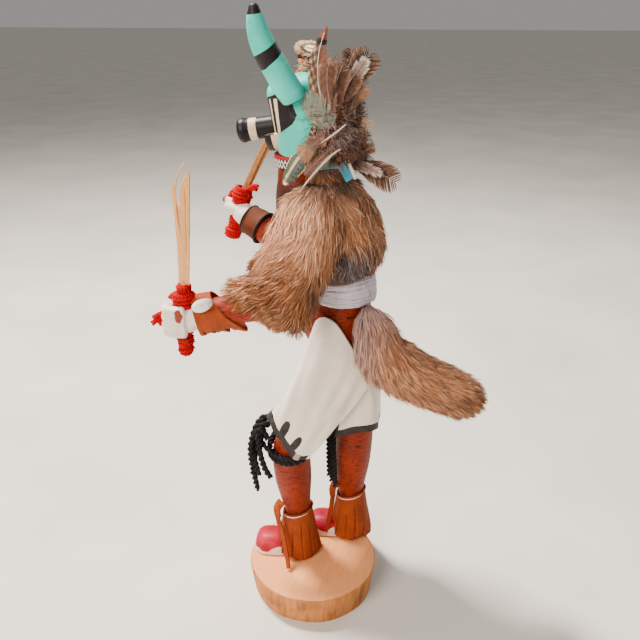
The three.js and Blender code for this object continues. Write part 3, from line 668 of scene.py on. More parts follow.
laces = {
    # a knotted flap and two tails for each ankle: path, width
    "left": [([[4, -21, 66.5], [7.6, -23.4, 62.5], [9.4, -22.2, 57]], 6.4),
             ([[1, -22, 61], [6, -23.2, 63.5], [9.6, -21, 66]], 3.4),
             ([[8, -22.6, 62], [10.2, -22.0, 56], [13.4, -17.6, 45], [17.4, -14.0, 34], [21.6, -11.2, 24.4]],
              3.8),
             ([[6.6, -23.2, 61], [8.6, -22.8, 54], [8.4, -20.8, 42], [7.0, -22.6, 29]], 2.8)],
    "right": [([[-26, 9.4, 66.5], [-23.4, 7.8, 62.5], [-22, 8.4, 57.5]], 5.8),
              ([[-29, 9.6, 61], [-25.4, 8.6, 64], [-22, 9.6, 67]], 3.2),
              ([[-23.4, 8.4, 62], [-22, 8.2, 55], [-20.4, 6.6, 40], [-19.4, 4.0, 25.4]], 3.8),
              ([[-24.8, 7.8, 61], [-24.2, 7.4, 53], [-24.6, 6.4, 42], [-25.4, 4.2, 31]], 2.8)],
}


def ribbon(name, points, width, thick, facing, finish, slot):
    count, taper = 24, 0.75
    section = ((-1, -1), (-1, 1), (0, 1.15), (1, 1), (1, -1), (0, -1.15))
    half = np.linspace(1, taper, count) * width / 2
    dress(flatBand(name, curveThrough(points, count), half, thick, facing, section), finish, slot)


makeBase()
makeFigure()
makeMoccasins()
for name, seed in (("left", 3), ("right", 8)):
    makeFringe(name, moccasin["spots"][name], seed)
for name, tails in laces.items():
    for k, (chain, width) in enumerate(tails):
        ribbon(f"{name}_ankle_lace_{k}", chain, width, 1.0, (0.9, -0.3, 0.25), suede, "brown_leather")
print("wood, feet and ankle hides made")


# mask, horns, tube mouth and lip
mask = {
    "centre": (-11.7, -2.8, 321.0), "radius": 22.0, "lean": 0.2, "yaw": 0.17, "chin": 302.6,
    "profile": [(-30, 21.6), (-15, 21.9), (0, 22.0), (12, 21.8), (17.0, 21.6), (20.0, 20.9), (22.3, 19.0),
                (23.8, 16.0), (24.6, 11.0), (25.2, 5.0)],
    "leftHorn": [[14.1, -4.9, 334.4, 6.2, 6.2], [15.0, -5.9, 337.2, 6.9, 6.9], [16.6, -8.7, 342, 7.0, 7.0],
                 [19.4, -12.4, 349.6, 6.9, 6.9], [22.3, -16.2, 357.5, 6.5, 6.5], [24.6, -18.6, 365, 5.8, 5.8],
                 [26.2, -19.8, 372, 4.5, 4.5], [27, -20, 377, 2.7, 2.7]],
    "rightHorn": [[-37.4, -1.5, 318, 5.6, 5.6], [-37.6, -3, 322, 6.5, 6.5], [-37.6, -6, 330, 6.6, 6.6],
                  [-37.2, -9.4, 339, 6.3, 6.3], [-35.6, -12.2, 348, 5.4, 5.4], [-33.6, -13.9, 355.6, 4, 4],
                  [-32.6, -14.4, 358.6, 2.6, 2.6]],
    "hornLedge": [[16, -1, 8, 7.4, 6.2], [23.4, -1, 9, 6.6, 5.6]],
    # painted bands, as shares of a horn's length
    # the seam is a dark line near the butt: the glued joint, darkened as painted shadow of its groove
    "seamAndShadow": (0.034, 0.052), "band": (0.492, 0.592), "tipFrom": {"left": 0.885, "right": 0.70}, "slant": 0.0024,
}
maskPatches = {
    # outlines on the unrolled mask: away from the middle of the face, and up
    "black": [(4.8, -4.6), (11.6, -3.6), (17.0, -2.2), (26.4, 1.4), (31.5, 6.0),
              (30.0, 13.5), (26.5, 17.5), (20.5, 18.0), (5.6, 16.6)],
    "creams": [[(8.6, -3.9), (10.8, -3.4), (12.9, 15.8), (10.4, 15.9)],
               [(14.0, -3.0), (16.9, -1.7), (19.5, 15.6), (16.0, 15.8)]],
}


def faceTurn(lean):
    # a lean about X, then the mask's own turn about Z
    c, s = math.cos(lean), math.sin(lean)
    k, n = math.cos(mask["yaw"]), math.sin(mask["yaw"])
    return np.array([[1, 0, 0], [0, c, s], [0, -s, c]]) @ np.array([[k, n, 0], [-n, k, 0], [0, 0, 1]])


def fromFace(rings, at, lean):
    # carries rings made about the mask's own axis to their place
    return [ring @ faceTurn(lean) + np.asarray(at) for ring in rings]


def hoop(radius, level, sides, centre=(0, 0)):
    angles = circle(sides)
    return np.stack([centre[0] + radius * np.cos(angles), centre[1] + radius * np.sin(angles),
                     np.full(sides, level)], axis=1)


def inside(finish, u, v, corners):
    # 1 within an outline whose corners run the same way round
    result = None
    for (x1, y1), (x2, y2) in zip(corners, corners[1:] + corners[:1]):
        length = math.hypot(x2 - x1, y2 - y1)
        a, b = -(y2 - y1) / length, (x2 - x1) / length
        side = finish.rise(finish.plus(finish.times(u, a), finish.times(v, b)), a * x1 + b * y1, 5.0)
        result = side if result is None else finish.calc("MINIMUM", result, side)
    return result


def maskFinish():
    paint = turquoiseFinish("maskPaint")
    flat = paint.parts(paint.flat())
    ruffle = paint.wobble(260, 0.7)
    u, v = paint.plus(paint.calc("ABSOLUTE", flat[0]), ruffle), paint.plus(flat[1], ruffle)
    black = paint.twoTone(300, "#100d0f", "#1f1a1d")
    base = paint.mix(inside(paint, u, v, maskPatches["black"]), paint.painted(), black)
    for corners in maskPatches["creams"]:
        base = paint.mix(inside(paint, u, v, corners), base, paint.twoTone(260, "#d9bda0", "#eed6bc"))
    paint.colour(base)
    return paint


def makeMask():
    place = mask["centre"], mask["lean"]
    profile = curveThrough([[r, z] for z, r in mask["profile"]], 70)
    head = carve("mask_painted", fromFace([hoop(r, z, 72) for r, z in profile], *place))
    editAll(head, bpy.ops.mesh.bisect, plane_co=(0, 0, mask["chin"] * mm), plane_no=(0, 0, 1),
            clear_inner=True, use_fill=True)
    ledge = Path(mask["hornLedge"], 8, side=(0, 1, 0)).rings(32, (0, 1.8))
    head = melted(joined("mask_painted", head, carve("hornLedge", fromFace(ledge, *place))), 0.8, 3)
    co = np.empty(len(head.data.vertices) * 3)
    head.data.vertices.foreach_get("co", co)
    local = (co.reshape(-1, 3) / mm - mask["centre"]) @ faceTurn(mask["lean"]).T
    addMap(head, np.arctan2(local[:, 0], -local[:, 1]) * mask["radius"], local[:, 2])
    dress(head, maskFinish(), "painted_turquoise", "mask_head")


def makeHorn(name):
    sides = 40
    rings = Path(mask[f"{name}Horn"], 60).rings(sides, (1.6, 2.4))
    horn = carve(f"{name}_horn_painted", rings)
    # the band and the tip are cut on a slant
    level = np.concatenate([ring - ring.mean(axis=0) for ring in rings])
    slant = -mask["slant"] * (level @ [0.15, -0.75, -0.64])
    along = np.repeat(np.linspace(0, 1, len(rings)), sides)
    addMap(horn, along - slant, np.tile(circle(sides) / turn, len(rings)))
    paint = turquoiseFinish(f"{name}HornPaint")
    s = paint.plus(paint.parts(paint.flat())[0], paint.wobble(180, 0.012))
    # the glued joint near the butt, darkened as painted shadow of its groove
    base = paint.mix(paint.between(s, *mask["seamAndShadow"]), paint.painted(), "#14504a")
    marks = paint.above(s, mask["tipFrom"][name])
    if name == "left":
        marks = paint.larger(marks, paint.between(s, *mask["band"]))
    paint.colour(paint.mix(marks, base, paint.twoTone(300, "#151113", "#261f22")))
    dress(horn, paint, "painted_turquoise", f"{name}_horn")


mouth = {
    "at": (-11.7, -3.4, 320.2), "dip": 0.15, "radius": 5.9, "flare": 6.8, "front": 41.8,
    "cream": (30.4, 34.7), "lipCream": (-5, 21.5), "lipHalfTurn": 1.35, "lipSteps": 36,
}


def mouthFinish(name, low, high):
    paint = Finish(name, roughness=0.42)
    distance = paint.plus(paint.parts(paint.flat())[0], paint.wobble(200, 0.5))
    black = paint.ramp(paint.noise(260, detail=4), [(0.3, "#0c0a0c"), (0.75, "#1d191c")])
    cream = paint.twoTone(260, "#d2b494", "#ecd3b8")
    paint.colour(paint.mix(paint.between(distance, low, high), black, cream))
    paint.relief(paint.noise(220, detail=4), 0.18, 0.6)
    return paint


def makeMouth():
    radius, flare, front, sides = mouth["radius"], mouth["flare"], mouth["front"], 40
    profile = curveThrough([[14.0, radius], [22.0, radius], [34, 6.1], [front - 3.5, flare],
                            [front - 1.2, flare - 0.5], [front - 0.1, flare - 2.2], [front, 1.0]], 48)
    rings = [hoop(r, -d, sides)[:, [0, 2, 1]] for d, r in profile]
    tube = carve("mouth_tube_painted", fromFace(rings, mouth["at"], mouth["dip"]))
    addMap(tube, np.repeat(profile[:, 0], sides), np.zeros(len(profile) * sides))
    dress(tube, mouthFinish("mouthPaint", *mouth["cream"]), "painted_black", "snout_tube")
    rings, half, steps = [], mouth["lipHalfTurn"], mouth["lipSteps"]
    for k in range(steps + 1):
        angle = -math.pi / 2 - half + 2 * half * k / steps
        out = np.array([math.cos(angle), 0, math.sin(angle)])
        # the half ring thins out at its two ends
        ends = min(1.0, 3.2 * math.sin(math.pi * (0.06 + 0.88 * k / steps)))
        section = [(11.0, -14.0), (11.0, -23.6), (11.5, -25.0), (12.6, -25.3), (13.2 + 0.2 * ends, -24.4),
                   (13.4, -22.0), (13.2, -14.0)]
        rings.append(np.array([out * r + [0, y * (0.97 + 0.03 * ends), 0] for r, y in section]))
    lip = carve("lip_painted", fromFace(rings, mouth["at"], mouth["dip"]))
    depth = np.tile([0, 20.0, 40, 40, 40, 23, 0], steps + 1)
    addMap(lip, depth, np.zeros(len(depth)))
    dress(lip, mouthFinish("lipPaint", *mouth["lipCream"]), "painted_black", "lower_lip")


collar = {"at": (-12.1, -10.05), "radius": 14.6, "low": 295.4, "high": 302.2, "bandTop": 4.9,
          "redFrom": 5.0, "zigzag": 2.3, "line": 0.62}


def collarFinish():
    # a dark band crossed with white, under a red line
    paint = Finish("neckBandPaint", roughness=0.6)
    flat = paint.parts(paint.flat())
    wobble = paint.wobble(320, 0.25)
    u, v = paint.plus(flat[0], wobble), paint.plus(flat[1], wobble)
    zig = paint.calc("PINGPONG", u, collar["zigzag"])
    lines = [paint.near(paint.times(path, 2.05), v, collar["line"])
             for path in (zig, paint.minus(collar["zigzag"], zig))]
    crossed = paint.times(paint.larger(*lines), paint.between(v, 0.1, collar["bandTop"]))
    red = paint.twoTone(200, "#8d1520", "#b32430")
    base = paint.mix(paint.above(v, collar["redFrom"]), "#191114", red)
    paint.colour(paint.mix(crossed, base, "#e9e0da"))
    paint.relief(paint.noise(240, detail=3), 0.15, 0.5)
    return paint


def makeCollar():
    sides, rows = 72, 14
    tall = collar["high"] - collar["low"]
    swells = [0.35 * math.sin(math.pi * i / (rows - 1)) for i in range(rows)]
    ring = carve("neck_band_painted",
                 [hoop(collar["radius"] + swell, collar["low"] + tall * i / (rows - 1), sides, collar["at"])
                  for i, swell in enumerate(swells)])
    addMap(ring, np.tile(circle(sides) * collar["radius"], rows), np.repeat(np.linspace(0, tall, rows), sides))
    dress(ring, collarFinish(), "painted_band", "neck_collar")


makeMask()
makeHorn("left")
makeHorn("right")
makeMouth()
makeCollar()
print("mask, horns, mouth and neck band made")


# arms, hands, cuffs and shell
arms = {
    "left": [[6, -1, 272, 9.5, 10], [13.5, -1.5, 256, 10, 10.5], [20.5, -4, 238, 10, 10.2],
             [24.5, -9.5, 227.5, 9.6, 9.8],
             [30, -23, 223.8, 9, 9], [35, -36, 222, 8.5, 8.5], [39.5, -51, 219.6, 7.4, 7.4],
             [41, -57, 218.3, 7.2, 7.6]],
    "right": [[-40.5, -3, 270, 9.5, 10], [-46, -7, 256, 9.6, 10], [-47, -14, 245, 9.4, 9.6],
              [-44.5, -24, 241.5, 9, 9],
              [-41.6, -38, 243.2, 8.8, 8.8], [-44, -49, 247.5, 8.2, 8.2], [-46.6, -56, 250.3, 7.2, 7.2]],
}
hands = {
    "leftPalm": [[40.6, -53, 218.9, 7.0, 7.4], [41.6, -58, 217.9, 7.2, 9.0], [42.8, -63, 216.8, 7.0, 9.8],
                 [43.6, -67, 216, 6.2, 9.4]],
    "leftThumb": [[37, -58, 221, 3, 3], [36.6, -64, 223.6, 2.9, 2.9], [38.6, -70, 225.2, 2.6, 2.6]],
    # each curled finger: x, y, drop below its first knuckle, share of its half width
    "leftCurl": [[48.5, -60, 0, 1], [49.6, -66, 0.3, 1], [47.6, -71.5, 0.7, 1], [42.6, -73.2, 1.0, 1],
                 [38.6, -70.5, 1.0, 0.95], [37.6, -66, 0.8, 0.9]],
    "leftKnuckle": 223.3, "leftStep": 4.7, "leftWidths": (2.75, 2.75, 2.75, 2.4),
    "rightPalm": [[-46.2, -54.5, 250, 7, 7], [-48.6, -60, 252.5, 7.2, 7.4], [-50.4, -64.5, 255, 6.6, 7.0]],
    "rightFingers": [[[-48, -60, 257], [-49.8, -68, 260], [-51.2, -75.4, 261.8]],
                     [[-45.5, -60, 254.5], [-46.2, -67.5, 257.0], [-46.8, -72.5, 258.6]],
                     [[-46.5, -60, 250.5], [-48.5, -66, 251.5], [-53.5, -69.5, 252.0]],
                     [[-52, -59, 250], [-55.6, -63, 252.5], [-54.6, -68, 255.5]]],
    "rightWidth": 2.2,
    # the place left red-brown: its centre and its size
    "leftPatch": ((50.5, -62.0, 220.8), (6, 2.2, 4.4)), "rightPatch": ((-51.6, -76.2, 262), (3.4, 3.4, 3.4)),
}


def handFinish(name, centre, size):
    # white paint, with one place left red-brown
    paint = Finish(name, roughness=0.5)
    white = paint.ramp(paint.noise(180, detail=3), [(0.3, "#dccdc2"), (0.65, "#f3ebe3")])
    offset = paint.vector("SUBTRACT", paint.place, tuple(v * mm for v in centre)).outputs[0]
    scaled = paint.scaled(tuple(1 / (v * mm) for v in size), offset)
    far = paint.vector("LENGTH", scaled).outputs["Value"]
    ragged = paint.plus(far, paint.times(paint.noise(500, detail=2), 0.55))
    paint.colour(paint.mix(paint.below(ragged, 1.25), white, "#8f3b22"))
    paint.relief(paint.noise(260, detail=4), 0.2, 0.6)
    return paint


def limb(name, stations, sides=24, side=(1, 0, 0)):
    return carve(name, Path(stations, 18, side=side).rings(sides, (1.2, 1.6)))


def finger(stations):
    return limb("finger", stations, 16, (0, 0, 1))


def makeHand(name, parts):
    hand = melted(joined(f"{name}_hand_painted", *parts), 0.5, 3)
    dress(hand, handFinish(f"{name}HandPaint", *hands[f"{name}Patch"]), "painted_skin")


def makeHands():
    parts = [limb("palm", hands["leftPalm"], side=(1, 0.3, 0))]
    for k, wide in enumerate(hands["leftWidths"]):
        z = hands["leftKnuckle"] - hands["leftStep"] * k
        parts.append(finger([[x, y, z - drop, wide * share, wide * share]
                             for x, y, drop, share in hands["leftCurl"]]))
    makeHand("left", [*parts, finger(hands["leftThumb"])])
    wide = hands["rightWidth"]
    parts = [finger([[*spot, wide, wide] for spot in chain]) for chain in hands["rightFingers"]]
    makeHand("right", [limb("palm", hands["rightPalm"]), *parts])


def makeForearms():
    for name in ("left", "right"):
        arm = carve(f"{name}_arm_painted", Path(arms[name], 60, side=(1, 0.4, 0)).rings(36, (2, 1)))
        dress(arm, armSkin, "painted_skin", f"{name}_arm")


cuff = {
    "left": [[35.2, -41, 221.6, 9.9, 10.4], [38.6, -49.5, 220.4, 9.5, 10.4], [40.4, -55.6, 219.3, 9.2, 10.3]],
    "right": [[-43.4, -45.5, 246.2, 10.0, 10.0], [-44.8, -50.5, 248.2, 9.6, 9.7], [-46.5, -56.4, 250.5, 8.7, 8.9]],
    "sides": {"left": (1, 0.4, 0), "right": (1, 0, 0)}, "hides": {"left": suede, "right": darkSuede},
    "wall": 1.1, "slitRows": (5, 6, 12, 17), "slitBelow": 9.2, "edge": 0.75,
}


def hangTail(points, centre):
    # the lower side hangs in a tail that runs back towards the elbow
    rows, sides, _ = points.shape
    for i in range(rows):
        v = 1 - i / (rows - 1)
        for k in range(sides):
            below = float(np.clip((centre[i, 2] - points[i, k, 2]) / 10.5, -1, 1))
            hang = max(0.0, below) ** 3
            slide = v * (6.5 * below + 2.0 * max(0.0, below))
            side = 1 if points[i, k, 0] > centre[i, 0] else -1
            points[i, k] += np.array([0, 0, -1]) * hang * (3.2 + 0.5 * math.sin(i * 1.1))
            points[i, k] += np.array([-0.8, 2.6, -0.2]) * hang * v ** 1.2
            points[i, k] += np.array([-0.33, 0.93, 0.14]) * slide
            points[i, k] -= np.array([0.93, 0.36, 0.0]) * side * 0.6 * hang


def makeCuff(name):
    rows, sides = 22, 72
    path = Path(cuff[name], rows, side=cuff["sides"][name])
    points = np.zeros((rows, sides, 3))
    angles = circle(sides)
    for i in range(rows):
        ring, normal, _ = path.at(np.full(sides, i / (rows - 1)), angles)
        lip = 0.5 * (abs(i / (rows - 1) - 0.5) * 2) ** 4
        points[i] = ring + normal * (lip + 0.25 * np.sin(angles * 3 + i * 0.2))[:, None]
    if name == "left":
        hangTail(points, path.centre)

    def isSlit(i, k):
        low = points[i, k, 2] < path.centre[i, 2] - cuff["slitBelow"]
        return name == "left" and i in cuff["slitRows"] and low

    piece = fromGrid(f"{name}_cuff_hide", points.reshape(-1, 3), wallFaces(rows, sides, isSlit))
    outward(piece)
    modify(piece, "SOLIDIFY", thickness=cuff["wall"] * mm, offset=0)
    dress(piece, cuff["hides"][name], "brown_leather", f"{name}_wrist_cuff")
    if name == "right":
        rings = [path.at(np.full(49, end), np.linspace(0, turn, 49), 0.7)[0] for end in (0, 1.0)]
        edges = [tubeGrid(Path(np.c_[ring, np.full((49, 2), cuff["edge"])], 97), 8) for ring in rings]
        dress(gathered("right_cuff_edge", edges), blackYarn, "brown_leather")


shell = {"at": (49.6, -47.6, 228.6), "length": 12.8, "width": 8.2, "height": 5.2, "turned": (0.44, 0.12, 0.3)}


def makeShell():
    cowrie = primitive("cuff_cowrie", bpy.ops.mesh.primitive_uv_sphere_add, segments=48, ring_count=32,
                       radius=0.5 * mm)
    for vertex in cowrie.data.vertices:
        x, y, z = (v / (0.5 * mm) for v in vertex.co)
        narrow = 1 - 0.16 * (y + 1) * 0.5
        groove = 0.10 * math.exp(-(z / 0.10) ** 2) * max(0.0, x) * max(0.0, 1 - y * y)
        teeth = 0.02 * math.cos(y * 42) * math.exp(-(z / 0.28) ** 2) * max(0.0, x)
        place = Vector(((x * (1 - groove) + teeth) * shell["height"], y * shell["length"],
                        z * shell["width"] * narrow)) * 0.5
        place.rotate(Euler(shell["turned"]))
        vertex.co = (place + Vector(shell["at"])) * mm
    only(cowrie)
    bpy.ops.object.shade_smooth()
    pearl = Finish("cowrieShell", roughness=0.22)
    pearl.shader.inputs["Coat Weight"].default_value = 0.5
    cloud = pearl.noise(180, detail=3, warp=0.8)
    pearl.colour(pearl.ramp(cloud, [(0.3, "#c9b7b3"), (0.5, "#efe7e2"), (0.75, "#fbf7f4")]))
    dress(cowrie, pearl, "cowrie_shell", "left_cuff_shell")


makeForearms()
makeHands()
makeCuff("left")
makeCuff("right")
makeShell()
print("arms and cuffs made")


# kilt: one sheet of white leather from its free left edge, forwards and round to the inner edge
kilt = {
    # each row: waist point, hem point, how far the middle stands out
    "rows": [[[-3.6, 35.5, 161], [17.3, 3.4, 115.6], 1], [[-1.8, 31.0, 176], [20.9, -5.4, 115.4], 3],
             [[-0.2, 25.5, 189], [21.4, -12, 123], 4], [[2.2, 14.5, 206], [19.6, -19, 131], 3],
             [[1.2, 3.5, 205.5], [16.6, -23.0, 136.6], -2], [[-4.5, -4.2, 184], [12.6, -26.5, 140.4], -9.9],
             [[-16.5, -7.6, 181], [-9, -23.5, 138], -4], [[-29, -9.0, 184], [-23, -22.4, 135], -3],
             [[-39.5, -6.5, 197], [-36, -20, 134], -1.5],
             [[-44, 12, 206], [-49.5, 7, 127], 1], [[-39.5, 26.5, 203.5], [-46, 33, 122.5], 1.5],
             [[-24, 36, 201], [-26.5, 40.2, 121.5], 1], [[-9.5, 33.5, 197.5], [-10, 37, 126], 1],
             [[-5.2, 30.5, 193], [-1, 27.5, 126.5], 0.5],
             [[-3.5, 26, 192], [1.5, 15, 124.6], 0.5]],
    "columns": 280, "height": 90, "wall": 1.1, "border": 5.2, "borderFrom": 11.5, "freeEdge": 1.6,
    # painted on the near corner: height, distance along the hem, half width
    "corner": {"tab": (3.8, 5.2, 2.6), "tape": (4.8, 9.6, 1.9)},
    # fingers over the border: distance along the hem, lean
    "fingers": ((16.0, -0.12), (26.5, -0.05)),
}


def kiltPoints():
    rows = curveThrough([[*top, *hem, out] for top, hem, out in kilt["rows"]], kilt["columns"] + 1)
    v = np.linspace(0, 1, kilt["height"] + 1)
    top, hem, out = rows[:, None, :3], rows[:, None, 3:6], rows[:, None, 6]
    middle = top + (hem - top) * v[None, :, None]
    away = middle + [20, -6, 0]
    away[..., 2] = 0
    away = unit(away)
    middle = middle + away * (out * 4 * v * (1 - v))[..., None]
    # slack folds, deepest towards the hem
    u = np.linspace(0, 1, kilt["columns"] + 1)[:, None]
    fold = 1.5 * np.sin(u * 44 + v * 2.0) * v ** 1.6 * np.clip((u - 0.32) * 5, 0, 1)
    fold += 1.1 * np.exp(-((u - 0.055 - 0.03 * v) / 0.018) ** 2) * np.sin(v * math.pi) ** 0.6
    fold -= 0.9 * np.exp(-((u - 0.13 - 0.05 * v) / 0.022) ** 2) * v
    fold += 0.5 * np.sin(u * 90 + v * 9) * np.sin(v * math.pi)
    return middle + away * fold[..., None]


def kiltFinish(hemLength):
    hide = Finish("whiteLeather", roughness=0.6)
    flat = hide.parts(hide.flat())
    ragged = hide.wobble(420, 0.8, detail=2)
    u, v = hide.plus(flat[0], ragged), hide.plus(flat[1], ragged)
    tone = hide.noise(28, detail=4, warp=0.4)
    base = hide.ramp(tone, [(0.3, "#e6d8c8"), (0.55, "#f5eadc"), (0.8, "#faf2e8")])
    patch = {name: hide.times(hide.below(v, high), hide.near(u, at, half))
             for name, (high, at, half) in kilt["corner"].items()}
    marks = hide.times(hide.below(v, kilt["border"]), hide.above(u, kilt["borderFrom"]))
    marks = hide.larger(marks, patch["tab"])

    def bulge(value, half, power):
        return hide.calc("POWER", hide.calc("DIVIDE", hide.calc("ABSOLUTE", value), half), power)

    for at, lean in kilt["fingers"]:
        # a rounded finger standing on the border
        across = hide.minus(u, hide.plus(at, hide.times(v, lean)))
        ring = hide.plus(bulge(across, 2.5, 2.2), bulge(hide.minus(v, 8.5), 6.6, 2.6))
        marks = hide.larger(marks, hide.below(ring, 1.0))
    marks = hide.larger(marks, hide.above(u, hemLength - kilt["freeEdge"]))
    painted = hide.mix(marks, base, hide.twoTone(240, "#241e20", "#3d3435", detail=3))
    hide.colour(hide.mix(patch["tape"], painted, "#a3978d"))
    pore, wrinkle = hide.noise(900, detail=3), hide.noise(110, detail=4, warp=1.0)
    hide.relief(hide.plus(hide.times(pore, 0.3), wrinkle), 0.35, 0.5)
    return hide


def makeKilt():
    grid = kiltPoints()
    columns, height = kilt["columns"] + 1, kilt["height"] + 1
    faces = [[i * height + j, (i + 1) * height + j, (i + 1) * height + j + 1, i * height + j + 1]
             for i in range(columns - 1) for j in range(height - 1)]
    hide = fromGrid("kilt_leather", grid.reshape(-1, 3), faces)
    # measures over the leather: along the hem, and up from it
    rise = np.linalg.norm(np.diff(grid, axis=1), axis=2)
    tall = np.concatenate([np.cumsum(rise[:, ::-1], axis=1)[:, ::-1], np.zeros((columns, 1))], axis=1)
    hemRun = np.append(0, np.cumsum(np.linalg.norm(np.diff(grid[:, -1], axis=0), axis=1)))
    addMap(hide, np.repeat(hemRun, height), tall.ravel())
    modify(hide, "SOLIDIFY", thickness=kilt["wall"] * mm, offset=-1)
    dress(hide, kiltFinish(hemRun[-1]), "white_leather", "kilt")


# yarn: plies twisted about a path
def plies(path, radius, count=3, pitch=5.0, sides=6, step=0.7, taper=((0, 1), (1, 1))):
    rows = np.asarray(path, float)
    chord = np.linalg.norm(np.diff(rows, axis=0), axis=1).sum()
    samples = max(12, int(chord / step))
    line = curveThrough(rows, samples)
    along = unit(np.gradient(line, axis=0))
    length = np.append(0, np.cumsum(np.linalg.norm(np.diff(line, axis=0), axis=1)))
    side = unit(np.cross(along, unit(np.array([0.31, 0.52, 0.79]))))
    over = np.cross(along, side)
    scale = np.interp(np.linspace(0, 1, samples), *taper)
    ply = radius * 0.5
    grids = []
    for k in range(count):
        angle = length / pitch * turn + turn * k / count
        shift = (side * np.cos(angle)[:, None] + over * np.sin(angle)[:, None]) * ((radius - ply) * scale)[:, None]
        stations = np.c_[line + shift, ply * scale, ply * scale]
        grids.append(tubeGrid(Path(stations, samples, side=(0.31, 0.52, 0.79)), sides))
    return grids


garter = {
    "radius": 2.0,
    "leftRings": [(119.0, 14.8), (115.2, 15.0)], "leftCentre": (5.0, -12.2), "leftSlopes": (0.1, 0.3),
    "leftEnds": [[[11, -26.5, 138], [14, -30.0, 137.5], [18.5, -33.5, 130.5], [21, -35.6, 117.2],
                  [20.4, -34.4, 101.2], [20, -32, 85.5]],
                 [[10, -27, 137], [12.5, -31.5, 134], [15, -34.5, 126], [18, -34.0, 111.8], [16.5, -37, 95]],
                 [[13, -26.5, 136], [16, -29.4, 131.5], [20.4, -29.6, 119], [20.6, -26.5, 105],
                  [19.6, -22.6, 97]],
                 [[12, -28, 128], [14.5, -33, 126], [18, -35, 119], [20.5, -32.5, 108], [21, -30, 98.5]],
                 [[10, -28.5, 120], [13, -31, 127], [16.5, -31.5, 133], [20, -31.0, 128], [18.5, -29.5, 118]],
                 [[14, -26, 124], [17, -28.5, 131], [18.5, -32.5, 130], [18.0, -34.5, 122], [15, -31.5, 113]],
                 [[12, -25.5, 133], [15.5, -28, 135.5], [18, -30.5, 131.5], [17.5, -31, 124.5], [15, -28, 119]],
                 [[9, -27.5, 130], [12, -31, 129], [15.5, -30.5, 124], [17.5, -27, 119.5], [18.5, -22, 117]]],
    "rightRing": (-28.6, 20.9, 126.5, 15.6),
    "rightEnds": [[[-16.5, 12, 126.5], [-13.6, 11, 112], [-13.4, 11.5, 92], [-13, 12.5, 74]],
                  [[-19, 8.2, 126.5], [-16.8, 6.6, 111], [-16.4, 6.6, 95], [-15.6, 7.4, 80]],
                  [[-17, 10, 126.5], [-14.8, 8.8, 110], [-15.2, 9.0, 93], [-14.0, 9.6, 77]]],
}


def loopPath(centre, radius, z, slopes, seed):
    # a little more than one turn round the leg, rising to the back and falling to the left
    wander = np.random.default_rng(seed).uniform(0, 6)
    angle = np.linspace(0, turn * 1.02, 72)
    x, y = radius * np.cos(angle), radius * np.sin(angle)
    level = 0.3 * np.sin(angle * 3 + wander) + (np.tan(slopes[0]) * y - np.tan(slopes[1]) * x)
    return np.stack([x, y, level], axis=1) + [*centre, z]


def makeGarters():
    grids = []
    for k, (z, radius) in enumerate(garter["leftRings"]):
        loop = loopPath(garter["leftCentre"], radius, z, garter["leftSlopes"], k)
        grids += plies(loop, garter["radius"], count=2, pitch=7.5)
    for k, chain in enumerate(garter["leftEnds"]):
        size = garter["radius"] * (1.1 if k < 3 else 0.95)
        grids += plies(chain, size, count=2, pitch=7.5, taper=([0, 0.9, 1], [1, 1, 0.75]))
    dress(gathered("left_garter_yarn", grids), blackYarn, "black_yarn", "left_knee_yarn")
    x, y, z, radius = garter["rightRing"]
    grids = plies(loopPath((x, y), radius, z, (0.05, 0.0), 5), 1.5, pitch=6)
    for chain in garter["rightEnds"]:
        grids += plies(chain, 1.9, count=2, pitch=7.0)
    dress(gathered("right_garter_yarn", grids), blackYarn, "black_yarn", "right_knee_yarn")


sash = {"low": 214.2, "high": 232.8, "turns": 15, "radius": 0.95, "out": 1.7, "core": 1.3}


def makeSash():
    # many turns of white yarn, one beside and over the next, over a soft core
    path = Path(figure["torso"], 60, upright=True)
    zs = path.centre[:, 2]
    rng = np.random.default_rng(21)
    angle = np.linspace(0, turn * 1.01, 90)
    grids = []
    for layer in range(2):
        turns = sash["turns"] + layer * 3
        for k in range(turns):
            share = (k + 0.5) / turns
            tilt, phase = rng.uniform(-0.9, 0.9), rng.uniform(0, turn)
            level = sash["low"] + (sash["high"] - sash["low"]) * share
            level = level + tilt * np.sin(angle + phase) + 0.25 * np.sin(angle * 4 + phase * 2)
            t = np.interp(level, zs, np.linspace(0, 1, len(zs)))
            ring = path.at(t, angle, sash["out"] + 0.75 * layer + 0.3 * math.sin(math.pi * share))[0]
            ring[:, 2] = np.clip(level, sash["low"] - 0.4, sash["high"] + 0.6)
            size = sash["radius"] * (0.85 + 0.25 * rng.random())
            grids += plies(ring, size, count=2, pitch=3.4, sides=5, step=1.3)
    core = path.thinned(-sash["core"])[(zs > 213.5) & (zs < 233.5)]
    grids.append(tubeGrid(Path(core, 12, upright=True), 40))
    dress(gathered("waist_sash_yarn", grids), whiteYarn, "white_yarn", "waist_sash")


# whips and the red yarn on them
whips = {
    "leftGrip": [[43.2, -63.4, 190], [42.6, -61.6, 236]],
    "rightGrip": [[-50, -71.4, 236], [-52.8, -62.4, 268.5]],
    "leftTips": [[40.2, -64.4, 292.2], [40.6, -61.4, 281], [40.1, -60.0, 290.8], [39.9, -58.7, 293.0],
                 [39.6, -57.0, 296.5], [39.2, -55.3, 299.3], [40.6, -57.4, 270]],
    "leftCurl": [[41, -61.5, 262], [41.6, -62.6, 276], [41.2, -62.6, 286], [41, -61.6, 294.8],
                 [40.4, -59.2, 300.5], [40, -56.7, 303.8]],
    "rightTips": [[-56.4, -36.8, 316], [-55.4, -34.9, 321], [-54.2, -35.5, 317], [-53, -34.2, 322],
                  [-54.6, -36.0, 312]],
}


def strawFinish(name, low, mid, high):
    straw = Finish(name, roughness=0.5)
    fibre = straw.noise(1.0, detail=3, stretch=(26, 0.35, 1), source=straw.flat())
    straw.colour(straw.ramp(fibre, [(0.25, low), (0.5, mid), (0.75, high)]))
    straw.relief(fibre, 0.12, 0.8)
    return straw


